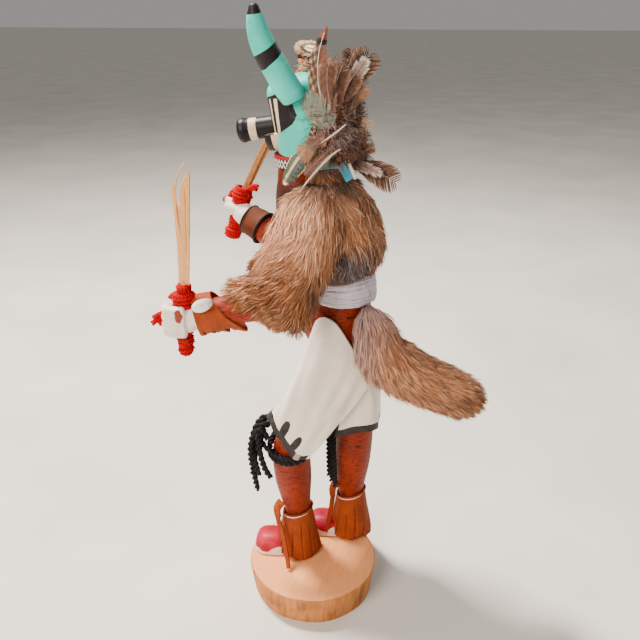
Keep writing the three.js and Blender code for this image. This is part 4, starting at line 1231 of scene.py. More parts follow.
def strip(start, end, width, thick, facing, bow):
    # one split leaf, thinner towards its tip
    count = 26
    t = np.linspace(0, 1, count)
    start, end = np.array(start, float), np.array(end, float)
    line = start + (end - start) * t[:, None] + np.asarray(bow) * np.sin(t[:, None] * math.pi)
    half = (width / 2) * np.clip(1.15 - 0.45 * t, 0, 2) * np.where(t > 0.97, 0.6, 1)
    section = ((-1, -0.5), (-0.8, 0.7), (0, 1.0), (0.8, 0.7), (1, -0.5), (0, -0.2))
    piece = flatBand("strip", line, half, thick, facing, section)
    around = np.tile([0.0, 0.2, 0.5, 0.8, 1.0, 0.5], count)
    addMap(piece, around * width / 4, np.repeat(t * 60, len(section)))
    return piece


def makeWhip(name, colours, seed):
    rng = np.random.default_rng(seed)
    low, high = (np.array(p, float) for p in whips[f"{name}Grip"])
    tips = whips[f"{name}Tips"]
    spacing = 0.55 if name == "left" else 0.44
    pieces = []
    for k, tip in enumerate(tips):
        beside = np.array([rng.uniform(-1.2, 1.2), (k - (len(tips) - 1) / 2) * spacing, 0])
        bow = rng.uniform(-0.9, 0.9, 3) * [1, 1.2, 0]
        pieces.append(strip(low + (high - low) * 0.9 + beside, tip, rng.uniform(2.7, 3.6), rng.uniform(0.7, 1.1),
                            (0.93, 0.1 + rng.uniform(-0.3, 0.3), 0.2), bow))
    if name == "left":
        # one thin dry fibre curls away from the strips
        fibre = carve("strip", Path([[*p, 0.35, 0.35] for p in whips["leftCurl"]], 30).rings(6))
        none = np.zeros(len(fibre.data.vertices))
        addMap(fibre, none, none)
        pieces.append(fibre)
    stations = [[*(low + (high - low) * t), 2.6, 2.6] for t in (0.07, 0.3, 0.6, 0.98)]
    rings = Path(stations, 12).rings(16, (0.6, 0))
    handle = carve("strip", rings)
    addMap(handle, np.tile(np.arange(16) / 4, len(rings)), np.repeat(np.arange(len(rings)) * 4.0, 16))
    pieces.append(handle)
    whip = joined(f"{name}_whip_strips", *pieces)
    dress(whip, strawFinish(f"{name}Straw", *colours), "yucca_leaf", f"{name}_whip")


def windings(grip, start, end, radius, bulge, turns, thick, seed):
    # yarn wound on the handle from start to end, both shares of its length
    wander = np.random.default_rng(seed).uniform(0, 6)
    low, high = np.array(grip, float)
    axis = unit(high - low)
    side = unit(np.cross(axis, [0, 1, 0.2]))
    over = np.cross(axis, side)
    angle = np.linspace(0, turn * turns, turns * 26)
    share = angle / angle[-1]
    r = radius + bulge * np.sin(share * math.pi) + 0.35 * np.sin(angle * 0.37 + wander)
    place = start + (end - start) * (0.5 - 0.5 * np.cos(share * math.pi))
    centre = low + (high - low) * place[:, None]
    coil = centre + side * (r * np.cos(angle))[:, None] + over * (r * np.sin(angle))[:, None]
    return plies(coil, thick, count=2, pitch=3.6, step=0.8)


handYarn = {
    # each winding: start, end, radius, bulge, turns, yarn, seed; then the loose ends
    "left": {"turns": [(0.76, 1.01, 2.9, 0.5, 8, 1.3, 4), (0.72, 0.9, 4.4, 1.4, 5, 1.4, 5),
                       (0.2, 0.4, 3.0, 0.9, 5, 1.3, 6), (0.1, 0.2, 2.8, 0.8, 3, 1.3, 7)],
             "ends": [[[42.5, -66, 228], [39.5, -69.5, 229], [38.5, -73, 226]],
                      [[41.5, -71.5, 217], [42.4, -75.5, 215.4], [45.2, -78.6, 214.4], [48.2, -80.4, 213.2]],
                      [[41.5, -71.5, 219.5], [42.8, -75.0, 218.4], [44.6, -78.0, 217.4], [46.8, -80.2, 216.0]],
                      [[42.5, -71.5, 215.0], [43.6, -74.8, 213.2], [45.8, -77.4, 212.0]]], "yarn": 1.75},
    "right": {"turns": [(0.72, 1.03, 3.9, 1.9, 7, 1.3, 9), (0.03, 0.2, 3.0, 1.9, 5, 1.3, 10),
                        (0.24, 0.42, 3.0, 1.0, 4, 1.3, 11)],
              "ends": [[[-53, -61, 266], [-51.5, -57.6, 268.6], [-50.2, -54.6, 270.5], [-50.0, -51.8, 269.8]],
                       [[-53, -63, 267], [-54.2, -67.5, 268.5], [-55.0, -71.5, 266.0], [-54.6, -73.5, 262.5]],
                       [[-52, -61, 267], [-50.6, -57.0, 270.5], [-50.0, -53.4, 272.3], [-49.6, -51.0, 271.6]],
                       [[-55, -64, 265], [-58.6, -66, 258], [-59.4, -68, 250], [-55, -70.5, 244]]], "yarn": 1.7},
}


def makeHandYarn():
    for name, parts in handYarn.items():
        grids = []
        for wound in parts["turns"]:
            grids += windings(whips[f"{name}Grip"], *wound)
        for chain in parts["ends"]:
            grids += plies(chain, parts["yarn"], pitch=4.5)
        dress(gathered(f"{name}_hand_winding", grids), redYarn, "red_yarn", f"{name}_hand_yarn")


makeKilt()
makeGarters()
makeSash()
makeWhip("left", ("#b87838", "#e8ab6c", "#f6c891"), 2)
makeWhip("right", ("#6a3f24", "#a9713f", "#cf9a63"), 3)
makeHandYarn()
print("kilt, yarn and whips made")


# hair: flat tapering strands rooted on a skin, gathered into locks
furCape = {
    "back": [[-16, 13, 231, 29, 22], [-16.5, 13.5, 244, 33, 26], [-16.5, 13, 257, 33.5, 26.5],
             [-16, 11, 271, 33, 25.5], [-15, 8, 282, 28, 22], [-14, 5, 290.5, 18.5, 17],
             [-13, 3, 296, 14, 13.5]],
    "leftSleeve": [[2, 2, 288, 9, 12], [7, 1, 279, 13, 19], [11, 0, 266, 15, 23], [16, -5.5, 251, 17, 23],
                   [21, -10.5, 237, 17, 22.5], [24, -11.0, 226, 15.5, 18.5], [24.5, -9.5, 217, 12.5, 13.5],
                   [23.5, -8, 211, 6, 7]],
    "leftEnd": [[22, -4, 233, 15, 15], [26, -16, 230, 14, 14], [31, -30, 227.8, 11.5, 11.5],
                [33.4, -36, 225.6, 9.8, 9.8], [34.8, -40, 225.0, 8.4, 8.4]],
    "rightSleeve": [[-33, 2, 286, 9, 12], [-39, 0, 278, 12, 18], [-43, -2, 265, 14, 21],
                    [-46.5, -5, 251, 15, 22],
                    [-48, -8, 238, 14, 19], [-48, -9, 229, 9, 12]],
    "rightEnd": [[-47, -8, 245, 14, 14], [-46, -15, 243, 13, 13], [-45, -21.5, 242.6, 11, 11]],
    "chest": [[-20, -40, 218, 16, 26], [-16, -38, 250, 13, 24], [-14, -34, 278, 12, 20],
              [-13, -30, 298, 12, 18]],
    "shrink": -5.0, "hideInset": 0.6, "endInset": 2.0, "backHem": 237.5, "endFall": {"leftEnd": 0.15, "rightEnd": 0},
    "strand": 0.5, "lift": (0.2, 0.6), "perLock": 16,
    # each coat: skin, strands, shortest and longest hair, share of the skin covered
    "coats": {"back": [("back", 26000, (8, 14), 1)],
              "left": [("leftSleeve", 27000, (8, 14), 0.985), ("leftEnd", 8000, (8, 13), 0.97)],
              "right": [("rightSleeve", 13000, (9, 14), 1), ("rightEnd", 5000, (8, 13), 0.97)]},
    # at each height, the hair of the left end starts this far forwards
    "leftCut": ([208, 222, 227.5, 231], [-4.0, -10.5, -19.0, -33.0]),
}
hairTones = {
    "rootGrey": "#54484a", "underGrey": "#93858a", "deepGrey": "#493d3a", "brown": "#7e4423", "tan": "#b26e3e",
    "pale": "#efb48c", "light": "#f7cda8", "dark": "#38211a",
    "tailTan": "#c67e52", "tailPale": "#e6ac82", "tailDark": "#472a1e",
    "downLilac": "#a08686", "downBrown": "#70483a", "downTan": "#a67656", "downDark": "#3c2720",
}
density = 1.0


def insideTube(path, points, grow=0.0):
    # only for upright paths: which points lie within the ellipse at their height
    z = path.centre[:, 2]
    order = np.argsort(z)
    level = np.clip(points[:, 2], z.min(), z.max())
    x, y, wide, deep = (np.interp(level, z[order], values[order])
                        for values in (path.centre[:, 0], path.centre[:, 1], path.wide, path.deep))
    within = ((points[:, 0] - x) / (wide + grow)) ** 2 + ((points[:, 1] - y) / (deep + grow)) ** 2 < 1
    return within & (points[:, 2] > z.min() - grow) & (points[:, 2] < z.max() + grow)


def scatter(path, count, rng, share=1.0):
    # even over the surface: rings with a longer outline get more
    t = rng.uniform(0, share, count * 3)
    size = np.interp(t, np.linspace(0, 1, len(path.wide)), path.wide + path.deep)
    t = t[rng.uniform(0, size.max(), len(t)) < size][:count]
    return path.at(t, rng.uniform(0, turn, len(t)))


def hairGrid(roots, normals, flow, length, width, lift, rng, clump=0.5, locks=600, curl=0.25, sag=0.15):
    count = len(roots)
    flow = unit(flow - normals * (flow * normals).sum(1)[:, None])
    lean = lift[:, None]
    head = unit(flow * np.cos(lean) + normals * np.sin(lean))
    tips = roots + head * length[:, None]
    # each strand is drawn towards the tip of the nearest lock
    pick = rng.choice(count, min(locks, count), replace=False)
    nearest = np.empty(count, int)
    for start in range(0, count, 4000):
        gap = ((roots[start:start + 4000, None] - roots[pick][None]) ** 2).sum(2)
        nearest[start:start + 4000] = gap.argmin(1)
    tips = tips + (tips[pick][nearest] - tips) * (clump * rng.uniform(0.6, 1.0, count))[:, None]
    bend = unit(rng.normal(size=(count, 3))) * (length * curl * 0.3)[:, None]
    bend += normals * (length * curl * 0.45)[:, None]
    side = unit(np.cross(head, normals) + 0.35 * rng.normal(size=(count, 3)))
    rows = []
    for share, fat in ((0.0, 0.75), (0.38, 1.0), (0.74, 0.7)):
        spot = roots + (tips - roots) * share + bend * (4 * share * (1 - share))
        spot[:, 2] -= sag * length * share ** 2
        half = side * (width * fat / 2)[:, None]
        rows += [spot - half, spot + half]
    tips[:, 2] -= sag * length
    points = np.stack([*rows, tips], axis=1).reshape(-1, 3)
    first = np.arange(count)[:, None] * 7
    quads = np.concatenate([first + [0, 1, 3, 2], first + [2, 3, 5, 4]])
    return points, quads, first + [4, 5, 6], nearest


def furPiece(name, grids, colours, finish, slot):
    points, faces, start = [], [], 0
    for some, quads, tris, _ in grids:
        points.append(some)
        faces += (quads + start).tolist() + (tris + start).tolist()
        start += len(some)
    piece = fromGrid(name, np.concatenate(points), faces)
    storeColours(piece, "hair", np.concatenate(colours))
    dress(piece, finish, slot)


def strandColours(root, middle, tip):
    # seven points a strand: two at the root, two and two along it, one at the tip
    upper = middle * 0.55 + tip * 0.45
    return np.stack([root, root, middle, middle, upper, upper, tip], axis=1).reshape(-1, 3)


def tones(*names):
    return np.array([tint(hairTones[n]) for n in names])


def blended(first, *layers):
    # each layer is a tone and how much of it each strand takes
    for second, amount in layers:
        amount = np.asarray(amount)[:, None]
        first = first * (1 - amount) + second * amount
    return first


def wave(points, size, seed):
    # a slow patchy value from 0 to 1
    rng = np.random.default_rng(seed)
    value = np.zeros(len(points))
    for _ in range(6):
        direction = unit(rng.normal(size=3)) / size * rng.uniform(0.6, 1.6)
        value += np.sin(points @ direction * turn + rng.uniform(0, turn))
    return np.clip(0.5 + value / 6, 0, 1)


def hairFinish(name):
    fur = Finish(name, roughness=0.6)
    fur.shader.inputs["Sheen Weight"].default_value = 0.15
    stored = fur.node("ShaderNodeAttribute", attribute_name="hair").outputs["Color"]
    fur.colour(fur.mix(1.0, stored, fur.twoTone(900, 0.86, 1.1, detail=2), "MULTIPLY"))
    fur.relief(fur.noise(1500, detail=1), 0.05, 0.3)
    return fur


def capeColours(roots, nearest, rng, region):
    count = len(roots)
    rootGrey, under, deep, brown, tan, pale, light, dark = tones(
        "rootGrey", "underGrey", "deepGrey", "brown", "tan", "pale", "light", "dark")
    lock = rng.uniform(0, 1, nearest.max() + 1)[nearest]
    own = rng.uniform(0, 1, count)
    patch = 0.25 + 0.9 * wave(roots, 26, 3) + 0.5 * (lock - 0.5)
    # painted highlight: the shoulder, lit from above, takes more of the pale hair; the lower parts turn grey
    x, y, z = roots.T
    shoulderLight = np.clip((z - 238) / 26, 0, 1) * np.clip((304 - z) / 14, 0, 1)
    grey, valleyShade, deepShare = np.zeros(count), np.zeros(count), 0.3
    if region == "left":
        shoulderLight = shoulderLight * np.clip((22 - y) / 14, 0, 1)
        grey = np.clip((y - 3) / 8, 0, 1) * np.clip((246 - z) / 14, 0, 1) * 0.85
    elif region == "back":
        shoulderLight, deepShare = shoulderLight * 0.4, 0.72
        grey = np.clip((262 - z) / 8, 0, 1) * np.clip((x + 10) / 12, 0.2, 1)
        # painted shade: a dark crease down the back fur beside the near sleeve
        valleyShade = np.clip(1 - np.abs(y - 18 - (270 - z) * 0.05) / 6, 0, 1) * (x > -10)
    greys = blended(under, (deep, np.where(own < deepShare, 0.85, 0.1)))
    middle = blended(brown, (tan, np.clip(patch, 0, 1)), (pale, np.clip(shoulderLight * (0.55 + 0.5 * own), 0, 0.9)),
                     (light, (own > 0.82) * 0.55), (greys, grey))
    tip = blended(middle * 1.05, (dark, np.where(own < 0.34, 0.8, 0.08)), (light, (own > 0.9) * 0.6))
    root = blended(rootGrey, (middle, np.full(count, 0.25)))
    # each strand a little lighter or darker at random, and darker in the painted shade of the crease
    shade = (1 - 0.4 * valleyShade)[:, None] * rng.uniform(0.8, 1.12, count)[:, None]
    return strandColours(root * shade * 0.8, middle * shade, tip * shade)


def layOf(key, roots, along):
    # down the back and out along the ends
    if key == "back":
        return np.tile([0.0, 0.15, -1.0], (len(roots), 1))
    if key in furCape["endFall"]:
        return along + [0, 0, -furCape["endFall"][key]]
    # on the sleeves it falls from the shoulder, then runs forwards along the forearm
    forward = np.clip((262 - roots[:, 2]) / 34, 0, 1) * np.clip((16 - roots[:, 1]) / 22, 0.15, 1)
    return blended(np.array([0.3, -0.4, -0.9]), (np.array([0.25, -1.0, -0.5]), forward))


def makeCape():
    rng = np.random.default_rng(11)
    uprights = ("back", "leftSleeve", "rightSleeve")
    full = {key: Path(furCape[key], 40, upright=True) for key in uprights}
    shrink = furCape["shrink"]
    paths = {key: Path(furCape[key], 40, upright=True, grow=shrink) for key in uprights}
    paths["leftEnd"] = Path(furCape["leftEnd"], 30, side=(1, 0.4, 0), grow=shrink + 1)
    paths["rightEnd"] = Path(furCape["rightEnd"], 30, grow=shrink + 1)
    chest = Path(furCape["chest"], 40, upright=True)
    torso = Path(figure["torso"], 60, upright=True)
    skins = []
    for key, path in paths.items():
        inset = furCape["hideInset" if key in uprights else "endInset"]
        tube = tubeGrid(Path(path.thinned(inset), 30, upright=key in uprights), 40)
        skins.append(openShell("skin", *tube, lambda middles: ~insideTube(chest, middles)))
    hide = joined("cape_hide", *skins)
    modify(hide, "SOLIDIFY", thickness=0.8 * mm, offset=-1)
    dress(hide, leatherFinish("capeHide", "#3b2a22", "#5a4031", "#6f5240"), "rabbit_fur", "fur_cape")

    def coat(region, key, count, lengths, share):
        path = paths[key]
        roots, normals, along = scatter(path, int(count * density), rng, share)
        keep = ~insideTube(chest, roots, -1.0) & ~insideTube(torso, roots, -2)
        if key == "back":
            keep &= ~insideTube(paths["leftSleeve"], roots, -3) & ~insideTube(paths["rightSleeve"], roots, -3)
            keep &= roots[:, 2] > furCape["backHem"]
        elif key in uprights:
            keep &= ~insideTube(paths["back"], roots, -6)
        elif key == "leftEnd":
            keep &= roots[:, 1] > np.interp(roots[:, 2], *furCape["leftCut"])
        roots, normals, along = roots[keep], normals[keep], along[keep]
        n = len(roots)
        swirl = np.stack([wave(roots, 17, seed) - 0.5 for seed in (41, 42, 43)], axis=1)
        flow = layOf(key, roots, along) + swirl * 1.3 + rng.normal(0, 0.16, (n, 3))
        length = rng.uniform(*lengths, n)
        if key == "back":
            length = length * np.interp(roots[:, 2], [238, 252], [0.45, 1.0])
        if key in uprights:
            # hair that would leave the cape's own shape is cut short
            tips = roots + unit(flow) * length[:, None]
            outside = ~np.any([insideTube(bound, tips, 2.0) for bound in full.values()], axis=0)
            length = np.where(outside, length * 0.55, length)
        width = rng.uniform(0.7, 1.2, n) * furCape["strand"]
        lift = rng.uniform(*furCape["lift"], n)
        grid = hairGrid(roots, normals, flow, length, width, lift, rng, locks=max(60, n // furCape["perLock"]))
        return grid, capeColours(roots, grid[3], rng, region)

    finish = hairFinish("rabbitHair")
    for region, coats in furCape["coats"].items():
        made = [coat(region, *settings) for settings in coats]
        furPiece(f"cape_{region}_hair", [g for g, _ in made], [c for _, c in made], finish, "rabbit_fur")


tail = {
    "path": [[-8, 31.5, 213.5, 8, 8], [-4.8, 36.5, 203, 12, 12.5], [-4.0, 43.5, 188, 15.5, 15.5],
             [-9.3, 59.6, 172.6, 15.5, 16],
             [-14.3, 75, 163.7, 14.5, 15.5], [-18, 87, 157.5, 12.5, 13.5], [-20.5, 94.5, 153.5, 8, 9]],
    "shrink": -5.0, "coreFrom": 4, "strands": 20000, "length": (11, 17), "strand": 0.6, "lift": (0.16, 0.5),
    "perLock": 18,
}


def makeTail():
    rng = np.random.default_rng(31)
    path = Path(tail["path"], 50, grow=tail["shrink"])
    core = np.maximum(path.thinned(0.8)[tail["coreFrom"]:], [-999, -999, -999, 1, 1])
    core = fromGrid("tail_core", *tubeGrid(Path(core, 40), 28, (2, 3)))
    dress(core, leatherFinish("tailHide", "#3f291d", "#6b452e", "#7d5238"), "tail_fur", "fox_tail")
    roots, normals, along = scatter(path, int(tail["strands"] * density), rng, 0.985)
    n = len(roots)
    y = roots[:, 1]
    share = np.clip((y - 38) / 62, 0, 1)
    fluff = np.clip(1 - share * 3.2, 0, 1)
    flow = along + fluff[:, None] * np.array([0.1, 0.1, -0.5])
    length = rng.uniform(*tail["length"], n) * (1 - 0.1 * share)
    width = rng.uniform(0.7, 1.2, n) * tail["strand"]
    lift = rng.uniform(*tail["lift"], n) + 0.22 * fluff
    grid = hairGrid(roots, normals, flow, length, width, lift, rng, locks=max(60, n // tail["perLock"]), sag=0.05)
    tan, pale, dark, under, rootGrey = tones("tailTan", "tailPale", "tailDark", "underGrey", "rootGrey")
    lock = rng.uniform(0, 1, grid[3].max() + 1)[grid[3]]
    own = rng.uniform(0, 1, n)
    middle = blended(tan, (pale, np.clip(0.15 + wave(roots, 20, 5) * 0.8 * (1 - share * 0.5), 0, 1)),
                     (dark, np.clip((lock > 0.76 - 0.22 * share) * (0.25 + 0.4 * share), 0, 1)),
                     (under * 1.5, np.clip(1.3 - (y - 28) / 14, 0, 1) * 0.6))
    tip = blended(middle, (dark, np.where(own < 0.42, 0.75, 0.1)), (pale, (own > 0.84) * 0.7))
    shade = rng.uniform(0.82, 1.15, n)[:, None] * (1 - 0.22 * share[:, None])
    root = blended(rootGrey, (middle, np.full(n, 0.4)))
    colours = strandColours(root * 0.85, middle * shade, tip * shade)
    furPiece("tail_hair", [grid], [colours], hairFinish("tailHair"), "tail_fur")


makeCape()
makeTail()
print("fur made")


# feathers: barbs drawn out one by one from a quill, over a mass of down
plumes = {
    "barbs": 56, "quill": 0.42, "downStrands": 9000, "downFrom": 297.5, "crown": 345,
    "small": {"count": 150, "lowestTip": 298, "kinds": ["brown", "soft", "grey", "brown", "comb", "bars"],
              "shares": [0.3, 0.26, 0.26, 0.1, 0.05, 0.03]},
    # each feather: root, middle, tip, half width, markings, outline, which way its flat side faces
    "list": [
        [[12.2, 15.6, 322], [11.4, 7.2, 346], [3, 10.0, 369], 5.4, "tall", "long", (0.9, 0.2, 0.3)],
        [[-2, 6, 357], [-6, -2.5, 358.2], [-10.5, -12, 359.6], 4.6, "eye", "round", (0.85, 0.1, 0.5)],
        [[-16, -3, 346], [-19, -9, 347.4], [-22, -15.8, 348], 4.6, "rust", "square", (0.9, 0.1, 0.3)],
        [[9.5, 10, 338], [8, 3.5, 340], [5.6, -3.0, 341.6], 4.4, "bars", "square", (0.9, 0.1, 0.3)],
        [[-9.5, 17.5, 337], [-11.6, 24.0, 348], [-12, 30.5, 357.4], 8.2, "tongue", "fan", (0.85, 0.35, 0.3)],
        [[-12, 16.3, 337], [-14, 17.5, 346], [-16, 17.5, 354], 2.6, "brown", "long", (0.85, 0.35, 0.3)],
        [[-10, 18.0, 340], [-11, 23, 340.6], [-12, 28.4, 339], 4.6, "grey", "fan", (0.9, 0.2, 0.3)],
        [[-9.5, 15.4, 329.5], [-10, 21.0, 333.2], [-10, 25.6, 335.2], 3.0, "bars", "round", (0.9, 0.2, 0.3)],
        [[-8.5, 16.2, 326], [-8.5, 22, 328.4], [-8, 27.6, 327.4], 4.6, "magpie", "fan", (0.9, 0.2, 0.3)],
        [[-9, 19.0, 318.2], [-9, 25, 318.6], [-8, 31, 316.0], 6.4, "comb", "fan", (0.9, 0.2, 0.35)],
        [[-8, 24.5, 303], [-8.2, 29.5, 306.5], [-8, 34.5, 308.6], 3.4, "brown", "fan", (0.9, 0.2, 0.3)],
        [[-7.0, 21.0, 299.2], [-8.8, 34.5, 294.8], [-11.0, 47.6, 288.2], 7.8, "flag", "fan", (0.9, 0.25, 0.4)],
        [[13.8, 3.2, 309.5], [18.2, -3, 301.5], [19.8, -9.2, 290.8], 5.6, "green", "oval", (0.93, -0.25, 0.25)],
        [[13.4, 14.8, 321], [14.6, 7.2, 330.5], [14.2, -0.8, 335.8], 7.4, "wing", "oval", (0.9, -0.3, 0.3)],
        [[13.2, 14.6, 332], [12.6, 12.5, 344], [9, 12.8, 352], 5.4, "brown", "fan", (0.9, 0.3, 0.3)],
        [[15, 12, 316], [19, 5, 311], [21, -1, 306], 5.4, "soft", "fan", (0.9, -0.2, 0.35)],
        [[12, 17, 322], [8.5, 15.5, 338], [1, 18.5, 352], 6.4, "brown", "fan", (0.9, 0.3, 0.3)],
        [[12.6, 16, 324], [11.6, 12.5, 340], [7, 12.5, 354], 5.0, "soft", "long", (0.9, 0.2, 0.3)],
        [[6, 18, 328], [2, 20, 339], [-4, 24, 347], 6.4, "brown", "fan", (0.9, 0.3, 0.3)],
        [[0, 21, 326], [-3, 24, 335], [-6, 28, 342], 5.6, "soft", "fan", (0.9, 0.3, 0.3)],
        [[14, 17, 312], [19.5, 9.5, 304.5], [23, 3.0, 297.5], 4.8, "brown", "long", (0.9, -0.1, 0.4)],
        [[15, 20, 310], [20.5, 12.5, 303.5], [26.5, 0.8, 288.5], 1.1, "wisp", "long", (0.9, -0.1, 0.4)],
        [[13, 22, 322], [17, 16.5, 317.5], [18.8, 10, 313], 0.8, "wisp", "long", (0.9, 0, 0.4)],
        [[-16, 14, 330], [-20, 16, 346], [-22, 16.5, 358], 6, "tongue", "fan", (-0.8, 0.5, 0.2)],
        [[-24, 10, 320], [-29, 12, 331], [-31, 13.5, 339], 6, "flag", "fan", (-0.6, 0.7, 0.3)],
        [[-26, 14, 306], [-34, 22, 304], [-40, 30, 300], 6.5, "comb", "fan", (-0.6, 0.6, 0.4)],
        [[-28, 8, 316], [-34, 4, 309], [-37, -3, 300], 5.4, "green", "oval", (-0.93, 0.1, 0.25)],
        [[-20, 14, 324], [-23, 18, 333], [-24, 21, 342], 6.2, "magpie", "fan", (-0.2, 0.8, 0.3)],
        [[-17, 18, 306], [-20, 25, 303], [-22, 32, 298], 6.2, "brown", "fan", (-0.1, 0.6, 0.7)],
    ],
    "mass": [[-9, 13.5, 295, 14, 8], [-10, 13.2, 300.5, 21, 11.5], [-10.5, 12.4, 309, 25, 13.4],
             [-11, 10.6, 320, 25.5, 13.4],
             [-11.5, 8.2, 331, 23, 12.8], [-10, 6, 342, 16, 11], [-8, 4.6, 350, 9, 7.4]],
}
outlines = {
    "long": ([0, 0.12, 0.4, 0.7, 0.88, 1], [0.1, 0.5, 1, 0.75, 0.42, 0.03]),
    "round": ([0, 0.1, 0.4, 0.75, 0.92, 1], [0.3, 0.65, 1, 0.98, 0.7, 0.2]),
    "fan": ([0, 0.15, 0.5, 0.8, 0.94, 1], [0.08, 0.35, 0.85, 1, 0.8, 0.35]),
    "square": ([0, 0.2, 0.6, 0.9, 1], [0.3, 0.8, 1, 1, 0.9]),
    "oval": ([0, 0.12, 0.45, 0.8, 0.93, 1], [0.35, 0.75, 1, 0.75, 0.45, 0.1]),
}
quillTone, paleQuill = "#8f7464", "#e9ddd2"
tongues = {"tongue": (0.74, 0.42, "#a89184"), "flag": (0.62, 0.34, "#b9978a")}  # reach, width, colour
vanes = {
    # ground colour, then layers: where each lies (s along, e from the quill, r across), colour, strength
    "eye": ("#b6855a", [
        (lambda s, e, r: s > 0.8, "#c79a70", 0.8),
        (lambda s, e, r: ((s - 0.34) / 0.42) ** 2 + (e / 0.62) ** 2 < 1.25, "#21150f", 1),
        (lambda s, e, r: ((s - 0.36) / 0.31) ** 2 + (e / 0.38) ** 2 < 1, "#f0e0bb", 1)]),
    "tall": ("#8b6a52", [
        (lambda s, e, r: r < 0, "#8d5e4b", 1),
        (lambda s, e, r: (r > 0) & (np.sin(s * 70 + e * 6) + np.sin(s * 31 - e * 14) > 0.2), "#35241b", 0.85),
        (lambda s, e, r: (r > 0) & (np.sin(s * 70 + e * 6) + np.sin(s * 31 - e * 14) < -1.2), "#d2b79a", 0.8),
        (lambda s, e, r: (e < 0.3) & (s < 0.8), "#5a4034", 0.6),
        (lambda s, e, r: s > 0.86, "#84402a", 1),
        (lambda s, e, r: (s > 0.81) & (s < 0.87), "#1c120e", 1)]),
    "rust": ("#c06a38", [
        (lambda s, e, r: np.sin(s * 24 + e * 4) > 0.5, "#7c3c20", 0.7),
        (lambda s, e, r: e < 0.2, "#e39a62", 0.7)]),
    "bars": ("#a98565", [
        (lambda s, e, r: np.sin(s * 22 + e * 3) > 0.1, "#241914", 0.95),
        (lambda s, e, r: np.sin(s * 22 + e * 3) < -0.85, "#d9c4a6", 0.7)]),
    "magpie": ("#6b5246", [
        (lambda s, e, r: (s > 0.42) & (s < 0.58), "#efe6da", 1),
        (lambda s, e, r: s > 0.58, "#3a2b26", 1),
        (lambda s, e, r: (s > 0.66) & (np.sin(r * 16) > 0.5), "#8f7665", 0.8),
        (lambda s, e, r: (s < 0.42) & (np.sin(s * 40 + e * 6) > 0.3), "#2b211c", 0.8)]),
    "comb": ("#c9a281", [
        (lambda s, e, r: (s > 0.28) & (s < 0.5) & (e < 0.75), "#4c423c", 0.85),
        (lambda s, e, r: (s > 0.6) & (np.sin(r * 22) > 0.55), "#7d5c48", 0.75),
        (lambda s, e, r: s < 0.3, "#8a6f60", 0.7)]),
    "green": ("#4c5c50", [
        (lambda s, e, r: (np.sin(s * 58 + e * 4) > 0.5) & (e > 0.3), "#2c2b23", 0.8),
        (lambda s, e, r: (r < 0.0) & (r > -0.28), "#d9c190", 0.75),
        (lambda s, e, r: r < -0.28, "#4b5146", 0.8),
        (lambda s, e, r: (e > 0.86) | (s > 0.93), "#e8d5a8", 1),
        (lambda s, e, r: (e > 0.74) & (e < 0.86), "#33261a", 0.7)]),
    "wing": ("#80867a", [
        (lambda s, e, r: np.sin(s * 40 + e * 12) > 0.25, "#747a6c", 0.8),
        (lambda s, e, r: e > 0.7, "#b9a07c", 0.7),
        (lambda s, e, r: (e > 0.76) & (np.sin(s * 60) > 0.2), "#9a6a3c", 0.8)]),
    "soft": ("#9b6e50", [(lambda s, e, r: s < 0.5, "#6e5145", 0.8)]),
    "grey": ("#6f6058", [(lambda s, e, r: e < 0.5, "#4f4440", 0.7)]),
    "wisp": ("#b9a193", []),
    "brown": ("#6d4a3a", [
        (lambda s, e, r: np.sin(s * 30 + e * 6) > 0.6, "#4b3328", 0.6),
        (lambda s, e, r: e > 0.7, "#b08a6c", 0.6)]),
}


def tongueLayers(kind, jitter, streaked):
    # a pale tongue with a dark rim, on a brown feather with a pale edge
    reach, wide, tone = tongues[kind]

    def shape(s, e):
        return (e / wide) ** 2.4 + np.clip((s - reach * 0.55) / (reach * 0.45), 0, 9) ** 2.4

    return [(lambda s, e, r: e > 0.75, "#a98570", 0.7),
            (lambda s, e, r: (e > 0.3) | (s > 0.66), "#432a20", 0.8 if streaked else 0.0),
            (lambda s, e, r: (shape(s, e) < 2.6) & (s < reach + 0.14), "#2b1c17", 0.9),
            (lambda s, e, r: shape(s, e) < 1.25, "#dccabc", 1),
            (lambda s, e, r: shape(s, e) < 0.72, tone, 1),
            (lambda s, e, r: (shape(s, e) < 0.72) & (np.sin(s * 60 + e * 9 + jitter * 30) > 0.3), "#8c7468", 0.6)]


def markings(kind, s, r, rng):
    # colours by place along the feather (0 root, 1 tip) and across it (0 quill, 1 edge), seldom even
    jitter = rng.normal(0, 0.02, len(s))
    if kind in tongues:
        ground, layers = "#74503e", tongueLayers(kind, jitter, rng.uniform() < 0.3)
    else:
        ground, layers = vanes[kind]
    painted = [(np.array(tint(text)), where(s, np.abs(r), r) * float(strength)) for where, text, strength in layers]
    base = blended(np.tile(tint(ground), (len(s), 1)), *painted)
    return np.clip(base * (1 + rng.normal(0, 0.08, len(s)))[:, None], 0, 1)


def spineOf(root, middle, tip):
    # a feather's bent middle line, and which way it runs at each place
    root, middle, tip = (np.array(p, float) for p in (root, middle, tip))
    control = 2 * middle - (root + tip) / 2

    def line(t):
        t = t[:, None]
        return root * (1 - t) ** 2 + control * (2 * t * (1 - t)) + tip * t ** 2

    def slope(t):
        return unit((control - root) * (1 - t)[:, None] + (tip - control) * t[:, None])

    return line, slope, tip - root


